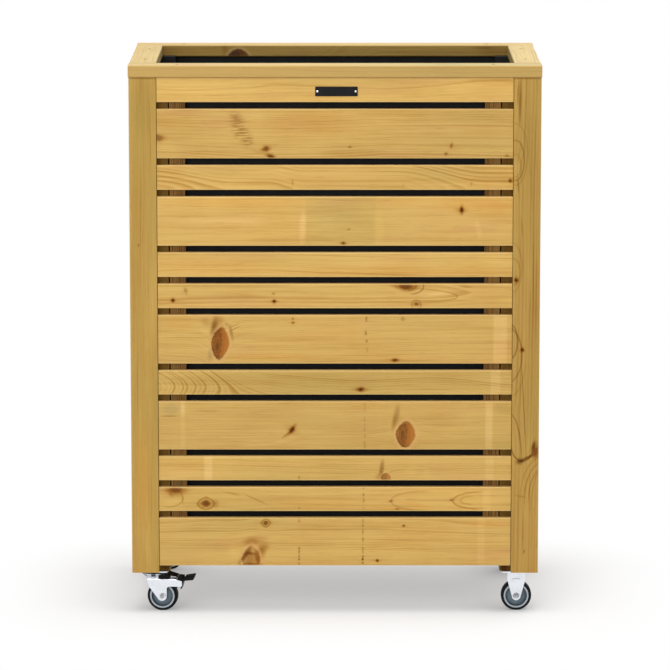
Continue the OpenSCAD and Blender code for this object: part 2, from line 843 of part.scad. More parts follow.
post(-1, -1);  // post_front_left
post(1, -1);  // post_front_right
post(-1, 1);  // post_rear_left
post(1, 1);  // post_rear_right
rim_rail(-1);  // rim_front
rim_rail(1);  // rim_rear
rim_side(-1);  // rim_left
rim_side(1);  // rim_right
front_slat(0);  // front_slat_01
front_slat(1);  // front_slat_02
front_slat(2);  // front_slat_03
front_slat(3);  // front_slat_04
front_slat(4);  // front_slat_05
front_slat(5);  // front_slat_06
front_slat(6);  // front_slat_07
front_slat(7);  // front_slat_08
front_slat(8);  // front_slat_09
front_slat(9);  // front_slat_10
front_slat(10);  // front_slat_11
front_slat(11);  // front_slat_12
rear_slats();
left_slats();
right_slats();
batten_pair_x(-1);  // front_battens
batten_pair_x(1);  // rear_battens
batten_pair_y(-1);  // left_battens
batten_pair_y(1);  // right_battens
floor_bearers();
floor_planks();
liner();
label_plate();
label_pins();
rim_screws();
caster_screws();
swivel_plate(-1);  // front_left_plate
kingpin(-1);  // front_left_kingpin
balls(-1, front_turn);  // front_left_balls
fork(-1, front_turn);  // front_left_fork
axle(-1, -1, front_turn, trail);  // front_left_axle
hub(-1, -1, front_turn, trail);  // front_left_hub
tyre(-1, -1, front_turn, trail);  // front_left_tyre
brake_housing(-1, front_turn);  // front_left_brake_housing
brake_pedal(-1, front_turn);  // front_left_brake_pedal
swivel_plate(1);  // rear_left_plate
kingpin(1);  // rear_left_kingpin
balls(1, rear_turn);  // rear_left_balls
fork(1, rear_turn);  // rear_left_fork
axle(-1, 1, rear_turn, trail);  // rear_left_axle
hub(-1, 1, rear_turn, trail);  // rear_left_hub
tyre(-1, 1, rear_turn, trail);  // rear_left_tyre
brake_housing(1, rear_turn);  // rear_left_brake_housing
brake_pedal(1, rear_turn);  // rear_left_brake_pedal
bracket(-1);  // front_right_bracket
axle(1, -1, 0, 0);  // front_right_axle
hub(1, -1, 0, 0);  // front_right_hub
tyre(1, -1, 0, 0);  // front_right_tyre
bracket(1);  // rear_right_bracket
axle(1, 1, 0, 0);  // rear_right_axle
hub(1, 1, 0, 0);  // rear_right_hub
tyre(1, 1, 0, 0);  // rear_right_tyre
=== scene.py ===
"""Dresses a tall slatted timber planter on four casters, and sets the stage, the lamps and the camera."""

import json
import math
from typing import NamedTuple

import bpy
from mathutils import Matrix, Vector


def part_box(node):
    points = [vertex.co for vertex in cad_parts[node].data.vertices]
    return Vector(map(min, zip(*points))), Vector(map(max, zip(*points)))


bl_info = {
    "name": "Rolling planter",
    "version": (1, 0, 0),
    "blender": (4, 5, 0),
    "location": "3D View > Sidebar > Planter",
    "description": "Timber, liner, zinc, rubber and stage for a slatted planter box on casters",
    "category": "Object",
}

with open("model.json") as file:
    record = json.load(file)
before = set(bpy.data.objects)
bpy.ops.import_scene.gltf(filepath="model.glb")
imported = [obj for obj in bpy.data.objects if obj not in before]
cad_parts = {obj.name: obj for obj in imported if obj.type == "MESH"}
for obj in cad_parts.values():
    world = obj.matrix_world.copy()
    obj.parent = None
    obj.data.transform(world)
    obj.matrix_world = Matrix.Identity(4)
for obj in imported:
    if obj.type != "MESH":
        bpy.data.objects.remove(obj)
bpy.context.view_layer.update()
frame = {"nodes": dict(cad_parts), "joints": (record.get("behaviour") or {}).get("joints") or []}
NODES = frame["nodes"]

FRONT_SLATS = [f"front_slat_{n:02d}" for n in range(1, 13)]
X, Y, Z = range(3)


# --- Shader expressions ---------------------------------------------------------------------------


class Wire:
    """A socket in a finish's node tree. Arithmetic on it adds Math nodes."""

    def __init__(self, finish, socket):
        self.finish = finish
        self.socket = socket

    def math(self, operation, *others):
        return self.finish.math(operation, self, *others)

    def __add__(self, other):
        return self.math("ADD", other)

    def __sub__(self, other):
        return self.math("SUBTRACT", other)

    def __rsub__(self, other):
        return self.finish.math("SUBTRACT", other, self)

    def __mul__(self, other):
        return self.math("MULTIPLY", other)

    def __truediv__(self, other):
        return self.math("DIVIDE", other)

    def __pow__(self, other):
        return self.math("POWER", other)

    def __abs__(self):
        return self.math("ABSOLUTE")

    def scaled(self, factor, addend):
        """This times factor, plus addend."""
        return self.math("MULTIPLY_ADD", factor, addend)

    def floor(self):
        return self.math("FLOOR")

    def root(self):
        return self.math("SQRT")

    def wave(self):
        return self.math("SINE")

    def fade(self):
        """e to the power of minus this."""
        return (self * -1).math("EXPONENT")

    def least(self, other):
        return self.math("MINIMUM", other)

    def most(self, other):
        return self.math("MAXIMUM", other)

    def rise(self, low, high):
        """0 below low, 1 above high, and smooth between; low may be the greater."""
        return self.finish.node(
            "ShaderNodeMapRange",
            {"interpolation_type": "SMOOTHSTEP"},
            {"Value": self, "From Min": low, "From Max": high},
        )


class Finish:
    """One procedural material or world, built from expressions."""

    def __init__(self, name, owners=None):
        if owners is None:
            owners = bpy.data.materials
        self.material = owners.new(name)
        self.material.use_nodes = True
        self.tree = self.material.node_tree
        self.tree.nodes.clear()

    def node(self, kind, settings=None, sockets=None, output=0):
        """Adds a node with its settings, then values or wires on its sockets. Returns its output."""
        made = self.tree.nodes.new(kind)
        for key, value in (settings or {}).items():
            setattr(made, key, value)
        for key, value in (sockets or {}).items():
            if isinstance(value, Wire):
                self.tree.links.new(value.socket, made.inputs[key])
            else:
                made.inputs[key].default_value = value
        if output is None:
            return [Wire(self, socket) for socket in made.outputs]
        return Wire(self, made.outputs[output])

    def math(self, operation, *values):
        return self.node("ShaderNodeMath", {"operation": operation}, dict(enumerate(values)))

    def place(self):
        """X, Y and Z of the point in the part's own frame."""
        point = self.node("ShaderNodeTexCoord", output="Object")
        return self.node("ShaderNodeSeparateXYZ", None, {0: point}, None)

    def facing(self):
        """X, Y and Z of the surface's direction in the part's own frame."""
        way = self.node("ShaderNodeTexCoord", output="Normal")
        return self.node("ShaderNodeSeparateXYZ", None, {0: way}, None)

    def noise(self, x, y=0.0, z=0.0, detail=2.0, roughness=0.5):
        point = self.node("ShaderNodeCombineXYZ", None, {0: x, 1: y, 2: z})
        sockets = {"Vector": point, "Scale": 1.0, "Detail": detail, "Roughness": roughness}
        return self.node("ShaderNodeTexNoise", None, sockets)

    def speckle(self, point, scale, detail=2.0, roughness=0.5):
        """Noise of the same scale along all three axes."""
        return self.noise(*(part * scale for part in point), detail=detail, roughness=roughness)

    def random(self, x, y):
        """A random number from 0 to 1 for each pair of numbers."""
        point = self.node("ShaderNodeCombineXYZ", None, {0: x, 1: y})
        return self.node("ShaderNodeTexWhiteNoise", {"noise_dimensions": "3D"}, {"Vector": point})

    def steps(self, place, stops):
        """A colour that jumps at each stop. A stop is its place, from 0 to 1, and its colour."""
        picked = self.node("ShaderNodeValToRGB", None, {0: place})
        ramp = picked.socket.node.color_ramp
        ramp.interpolation = "CONSTANT"
        while len(ramp.elements) < len(stops):
            ramp.elements.new(1)
        for element, (start, colour) in zip(ramp.elements, stops):
            element.position = start
            element.color = (*colour, 1)
        return picked

    def tint(self, amount, colour, tint):
        """The colour, multiplied by a tint as amount goes from 0 to 1."""
        return self.mix(amount, colour, tint, "MULTIPLY")

    def mix(self, amount, first, second, how="MIX"):
        """A colour from first to second as amount goes from 0 to 1."""
        colours = {}
        for key, colour in ((6, first), (7, second)):
            colours[key] = colour if isinstance(colour, Wire) else (*colour, 1)
        return self.node(
            "ShaderNodeMix",
            {"data_type": "RGBA", "blend_type": how, "clamp_factor": True},
            {0: amount, **colours},
            2,
        )

    def bump(self, height, metres):
        """A surface direction from heights of 0 to 1, which stand for 0 to metres."""
        return self.node("ShaderNodeBump", None, {"Strength": 1.0, "Distance": metres, "Height": height})

    def close(self, **sockets):
        """Ends the tree in a Principled shader, and returns the material."""
        named = {key.replace("_", " ").title().replace("Ior", "IOR"): sockets[key] for key in sockets}
        for key, value in named.items():
            if isinstance(value, (tuple, list)) and len(value) == 3:
                named[key] = (*value, 1)
        self.end(self.node("ShaderNodeBsdfPrincipled", None, named))
        return self.material

    def end(self, shader, kind="ShaderNodeOutputMaterial"):
        self.node(kind, None, {"Surface": shader}, None)

    def seen(self):
        """1 for what the camera sees itself, in bright metal or through glass."""
        path = self.node("ShaderNodeLightPath", output=None)
        return path[0].most(path[3]).most(path[6])


def scaled(colour, amount):
    return tuple(min(1.0, channel * amount) for channel in colour)


def dress(node, material):
    """Gives a CAD node its material."""
    mesh = NODES[node].data
    mesh.materials.clear()
    mesh.materials.append(material)


def middle(node):
    low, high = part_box(node)
    return (low + high) / 2


# --- Timber ---------------------------------------------------------------------------------------


class Spot(NamedTuple):
    """An ellipse on a board's face, placed from the board's middle, with its tilt in degrees."""

    tint: str
    along: float
    across: float
    half_length: float
    half_height: float
    strength: float
    tilt: float = 0
    more: float = 0


def spots(*rows):
    """Spots from rows of their values, with the four lengths in millimetres."""
    return [Spot(tint, *(length / 1000 for length in rest[:4]), *rest[4:]) for tint, *rest in rows]


def knots(*rows):
    """Spots for knots, from rows without a tint."""
    return spots(*(("knot", *row) for row in rows))


class Board(NamedTuple):
    """What marks one board. Lengths are in metres, and along and across start at the board's middle.

    pith: the tree's middle, as (across, depth). taper: growth of the rings' radius along the board.
    knots: more is the radius of a dark ring round the knot, in its own half lengths, or 0. A knot of
    no strength only turns the grain aside.
    loops: curves of a dark ring; more is 1 or -1 where only the half towards that end shows, or 0.
    bends: (from, to, rise), where the rings' radius grows from one place along the board to the other.
    dips: (from, to, drop), where the tree's middle moves across the board.
    wander: how much the tree's middle strays. ring: the rings' width, as a share of the timber's own.
    strips: (from, to, strength), pale bands across the board where a spacer lay on it; dark if negative.
    marks: (along, lowest, highest, strength), dotted lines that feed rollers left.
    rows: (start, pith, seed) for each board of a node that holds several, cut across.
    """

    pith: tuple
    taper: float = 0.01
    tone: float = 1.0
    contrast: float = 1.0
    wander: float = 1.0
    ring: float = 1.0
    knots: tuple = ()
    stains: tuple = ()
    loops: tuple = ()
    bends: tuple = ()
    dips: tuple = ()
    strips: tuple = ()
    marks: tuple = ()
    rows: tuple = ()


# What a stain does to the timber's colour
TINTS = {
    "yellow": (1.07, 1.1, 1.1),
    "pale": (1.16, 1.2, 1.45),
    "orange": (1.03, 0.93, 0.8),
    "pink": (0.97, 0.9, 1.02),
    "olive": (0.88, 0.92, 0.9),
    "grey": (0.78, 0.84, 1.0),
    "green": (0.66, 0.74, 0.78),
    "brown": (0.62, 0.46, 0.2),
    "branch": (0.4, 0.26, 0.1),
    "dash": (0.5, 0.38, 0.25),
}


def turned(u, v, spot):
    """Distances from a spot along its own two axes, in its half lengths."""
    turn_cos, turn_sin = math.cos(math.radians(spot.tilt)), math.sin(math.radians(spot.tilt))
    run_start = -(spot.along * turn_cos + spot.across * turn_sin) / spot.half_length
    lift_start = (spot.along * turn_sin - spot.across * turn_cos) / spot.half_height
    if not spot.tilt:
        return u.scaled(1 / spot.half_length, run_start), v.scaled(1 / spot.half_height, lift_start)
    run = v.scaled(turn_sin / spot.half_length, run_start)
    lift = u.scaled(-turn_sin / spot.half_height, lift_start)
    return u.scaled(turn_cos / spot.half_length, run), v.scaled(turn_cos / spot.half_height, lift)


# Half the width of a dark line drawn on a board, and the half height from which a knot is a large one
LINE = 0.0022
LARGE_KNOT = 0.009
# Knots are a little squarer than ellipses, whose power would be 2
KNOT_POWER = 1.6


class Timber(Finish):
    """Planed softwood with growth rings round a pith line.

    axes are those of the grain, of the face's width and of the thickness; u, v and w run along them.
    """

    def __init__(self, name, look, axes, seed, board):
        super().__init__(name)
        self.look = look
        self.seed = seed
        self.board = board
        low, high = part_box(name)
        self.centre, self.half = (low + high) / 2, (high - low) / 2
        self.along, self.across, depth = axes
        self.xyz = self.place()
        self.u, self.v, self.w = (self.xyz[axis] - self.centre[axis] for axis in axes)
        self.near = (self.w + self.half[depth]).rise(0.034, 0.022)
        self.far = self.u + seed * 3.7
        self.pith_v = board.pith[0]
        self.pale = look["pale"]
        self.tone = 0.5
        if board.rows:
            self.pick_row()
        self.rough = self.noise(self.far * 130, self.v * 260, self.w * 260, roughness=0.6) - 0.5
        self.cloud = self.noise(self.far * 7, self.v * 17, self.w * 17, detail=3, roughness=0.55)
        self.shapes = []
        for knot in board.knots:
            run, lift = turned(self.u, self.v, knot)
            away = (abs(run) ** KNOT_POWER + abs(lift) ** KNOT_POWER) ** (1 / KNOT_POWER)
            self.shapes.append((knot, run, lift, away))

    def pick_row(self):
        """Gives each board of a node that holds several its own pith, tone and stretch of grain."""
        rows = self.board.rows
        start = rows[0][0]
        span = rows[-1][0] - start + 0.2
        stops = [((row - start) / span, ((pith - start) / span, seed, seed)) for row, pith, seed in rows]
        picked = self.steps((self.xyz[self.across] - start) / span, stops)
        pith, seed, _ = self.node("ShaderNodeSeparateColor", None, {0: picked}, None)
        self.pith_v = pith * span + start - self.centre[self.across]
        self.far = self.far + seed * 37
        self.tone = seed * 0.5 + 0.25
        self.pale = self.mix(seed, self.pale, scaled(self.pale, 0.87))

    def paint(self, tint, amount):
        self.colour = self.tint(amount, self.colour, TINTS[tint])

    def cover(self, colour, amount):
        self.colour = self.mix(amount, self.colour, colour)

    def rings(self):
        """1 in late wood and 0 in early wood, from the distance to the tree's wandering middle."""
        u, v, w, far, board = self.u, self.v, self.w, self.far, self.board
        swing = self.look["wander"] * board.wander
        wander = self.noise(far * 1.6, 0.0, self.seed, detail=1) - 0.5
        lean = self.noise(far * 2.3, 5.0, self.seed, detail=1) - 0.5
        from_v = v - self.pith_v - wander * swing
        for first, last, drop in board.dips:
            from_v = u.rise(first, last).scaled(drop, from_v)
        from_w = w - board.pith[1] - lean * (swing * 0.7)
        radius = (from_v * from_v + from_w * from_w).root() + far * board.taper
        radius = radius + (self.noise(far * 9, v * 26, w * 26) - 0.5) * 0.003
        for first, last, grow in board.bends:
            radius = u.rise(first, last).scaled(grow, radius)
        for knot, _, _, away in self.shapes:
            radius = radius + (away * away * 0.3).fade() * (knot.half_height * 0.6) * self.near
        phase = radius / (self.look["ring"] * board.ring)
        phase = phase + (self.noise(radius * 60, self.seed) - 0.5) * (2.6 / board.ring)
        step = phase.floor()
        part = phase - step
        share = self.random(step, self.seed)
        return part.rise(0.1, 0.85) * part.rise(1.0, 0.9) * (share * share * 0.8 + 0.2)

    def grow(self):
        """Colour, height and roughness of the plain timber."""
        v, w, far, cloud, deep = self.v, self.w, self.far, self.cloud, self.look["deep"]
        ring = self.rings()
        fibre = self.noise(far * 7, v * 340, w * 340, detail=4, roughness=0.65)
        flow = self.noise(far * 2.6, v * 90, w * 90, detail=4, roughness=0.6)
        broad = self.noise(far * 2.2, v * 9, w * 9, detail=1)
        grain = ring * (self.look["contrast"] * self.board.contrast) + (fibre - 0.5) * 0.85
        grain = grain + (flow - 0.5) * 0.8 + (cloud - 0.5) * 0.6
        self.colour = self.mix(grain.rise(-0.32, 0.98), self.pale, deep)
        shade = (broad - 0.5) * 1.1 + (cloud - 0.5) * 0.5 + self.tone
        patch = self.noise(far * 5, v * 22, self.seed)
        self.paint("orange", shade.rise(0.5, 1.0))
        self.paint("olive", shade.rise(0.5, 0.1))
        self.paint("yellow", patch.rise(0.55, 0.8))
        self.paint("pink", patch.rise(0.45, 0.2))
        self.cover(deep, self.noise(far * 30, v * 900, w * 900, detail=1).rise(0.62, 0.74) * 0.4)
        self.height = ring * 0.5 + fibre * 0.35
        self.smooth = ring * -0.08 + fibre * 0.12

    def draw_strips(self):
        for first, last, strength in self.board.strips:
            torn = self.u + self.rough * 0.003
            band = torn.rise(first - 0.003, first + 0.002) * torn.rise(last + 0.003, last - 0.002)
            self.paint("pale" if strength > 0 else "olive", band * abs(strength))

    def draw_stains(self):
        dashes = self.noise(self.far * 45, self.v * 620, self.w * 300).rise(0.42, 0.6)
        frayed = self.rough * 0.8
        for stain in self.board.stains:
            run, lift = turned(self.u, self.v, stain)
            spread = run.scaled(run, lift.scaled(lift, frayed))
            mask = (spread * spread.scaled(0.5, 0.35)).fade() * (self.near * stain.strength)
            self.paint(stain.tint, mask * dashes if stain.tint == "dash" else mask)

    def draw_loops(self):
        for loop in self.board.loops:
            run, lift = turned(self.u, self.v, loop)
            reach = (run * run + lift * lift).root()
            slim = (loop.half_height / loop.half_length) ** 2
            slope = (run * run).scaled(slim, lift * lift).root().most(0.02)
            thick = LINE / loop.half_height
            curve = (abs(reach - 1 + self.rough * 0.06) / slope).rise(thick, thick * 0.25)
            curve = curve * (self.cloud * 0.9 + 0.5)
            if loop.more:
                curve = curve * run.rise(-0.35 * loop.more, 0.25 * loop.more)
            self.paint(loop.tint, curve * self.near * loop.strength)

    def draw_marks(self):
        for place, lowest, highest, strength in self.board.marks:
            line = abs(self.u - place + self.rough * 0.003).rise(0.003, 0.0004)
            dots = self.noise(self.v * 260, place, self.seed, detail=1).rise(0.4, 0.6)
            ends = self.v.rise(lowest - 0.001, lowest) * self.v.rise(highest + 0.001, highest)
            self.paint("branch", line * dots * ends * strength)

    def draw_large_knot(self, shown, run, lift, away):
        """A cut branch with rings of its own, a dark rim at one side and a pale collar."""
        look, rough = self.look, self.rough
        edge = rough.scaled(0.22, away)
        body = edge.rise(1.09, 0.9)
        core_run = run + 0.32
        core_lift = lift + 0.16
        spread = core_run * core_run * 2.1 + core_lift * core_lift * 0.5
        lines = rough.scaled(7, spread.most(0).root() * 13).wave().scaled(0.5, 0.5)
        deep = (spread * 1.2 + rough * 1.6).fade()
        rim = edge.rise(0.84, 0.98) * edge.rise(1.1, 1.02) * (run + lift * 0.3).rise(0.9, -0.4)
        collar = edge.rise(1.0, 1.1) * edge.rise(1.5, 1.15)
        heart = self.mix((deep * 0.95 + 0.2) * lines.scaled(0.35, 0.75), look["knot"], look["knot_deep"])
        heart = self.mix((deep ** 2) * lines.scaled(0.5, 0.3), heart, look["knot_core"])
        self.cover(look["collar"], collar * 0.5 * self.near)
        self.cover(heart, body * shown)
        self.cover(look["knot_core"], rim * 0.6 * shown)
        self.height = self.height + (body * 0.5 - rim * 0.6) * self.near
        return body

    def draw_small_knot(self, dark, shown, run, lift, away):
        """A dark dot in a brown halo that trails off along the grain."""
        edge = self.rough.scaled(0.9, away)
        body = edge.rise(1.35, 0.75)
        tail = (run * run * 0.05 + lift * lift * 1.3 + self.rough * 0.4).fade()
        self.paint("brown", (edge.rise(2.4, 0.9) * 0.75 + tail * 0.35) * shown)
        heart = self.mix(edge.rise(1, 0.5) * dark, self.look["knot_deep"], self.look["knot_core"])
        self.cover(heart, body * shown)
        self.height = self.height + body * 0.5 * self.near
        return body

    def draw_knots(self):
        for knot, run, lift, away in self.shapes:
            if not knot.strength:
                continue
            shown = self.near * knot.strength
            if knot.half_height > LARGE_KNOT:
                body = self.draw_large_knot(shown, run, lift, away)
            else:
                body = self.draw_small_knot(knot.strength, shown, run, lift, away)
            if knot.more:
                thick = LINE / knot.half_height
                ring = abs(away - knot.more + self.rough * 0.5).rise(thick, thick * 0.25)
                self.paint("brown", ring * shown)
            self.smooth = self.smooth - body * 0.1

    def finished(self, inside):
        """End grain, a painted sheen on top faces, pale edges from wear with a painted highlight, painted
        shade on inner faces, and then the material.
        """
        look = self.look
        way = self.facing()
        self.colour = self.tint(abs(way[self.along]).rise(0.6, 0.9) * 0.8, self.colour, look["end"])
        # Top faces lighter: a painted sheen
        if "bleached" in look:
            self.colour = self.tint(way[Z].rise(0.6, 0.9), self.colour, look["bleached"])
        # Both long edges paler: wear, with a painted highlight along them
        if not self.board.rows:
            border = self.half[self.across]
            self.cover(look["worn"], abs(self.v).rise(border - 0.003, border - 0.0006) * 0.6)
        # Painted shade where inside gives 1
        if inside:
            self.colour = self.tint(inside(*self.xyz), self.colour, look["inside"])
        return self.close(
            base_color=self.colour,
            roughness=(self.smooth + look["roughness"]).most(0.2).least(0.95),
            specular_ior_level=look["gloss"],
            normal=self.bump(self.height, look["relief"]),
        )


def timber(name, look, axes, seed, board, inside=None):
    """Dresses a node in timber.

    inside is a function of the three coordinates that gives 1 where the timber lies out of the light
    and painted shade darkens it.
    """
    wood = Timber(name, look, axes, seed, board)
    wood.grow()
    wood.draw_strips()
    wood.draw_stains()
    wood.draw_loops()
    wood.draw_marks()
    wood.draw_knots()
    dress(name, wood.finished(inside))


def look_of(settings, pale, deep, tone=1, **changes):
    """A timber's colours and measures, with changes for one kind of board."""
    look = {
        "pale": scaled(pale, tone),
        "deep": scaled(deep, tone),
        "end": (0.62, 0.5, 0.4),
        # The inside tint is painted shade, for faces behind the slats or round the opening
        "inside": (0.4, 0.37, 0.25),
        "collar": tuple(settings.knot_collar),
        "knot": tuple(settings.knot_colour),
        "knot_deep": tuple(settings.knot_deep),
        "knot_core": tuple(settings.knot_core),
        "ring": settings.ring_width,
        "contrast": settings.ring_contrast,
        "wander": 0.03,
        "roughness": 0.55,
        "gloss": 0.1,
        "relief": 0.00025,
        **changes,
    }
    # Paler edge colour: wear, with a painted highlight
    look["worn"] = tuple(channel * k for channel, k in zip(look["pale"], (1.2, 1.32, 1.8)))
    return look


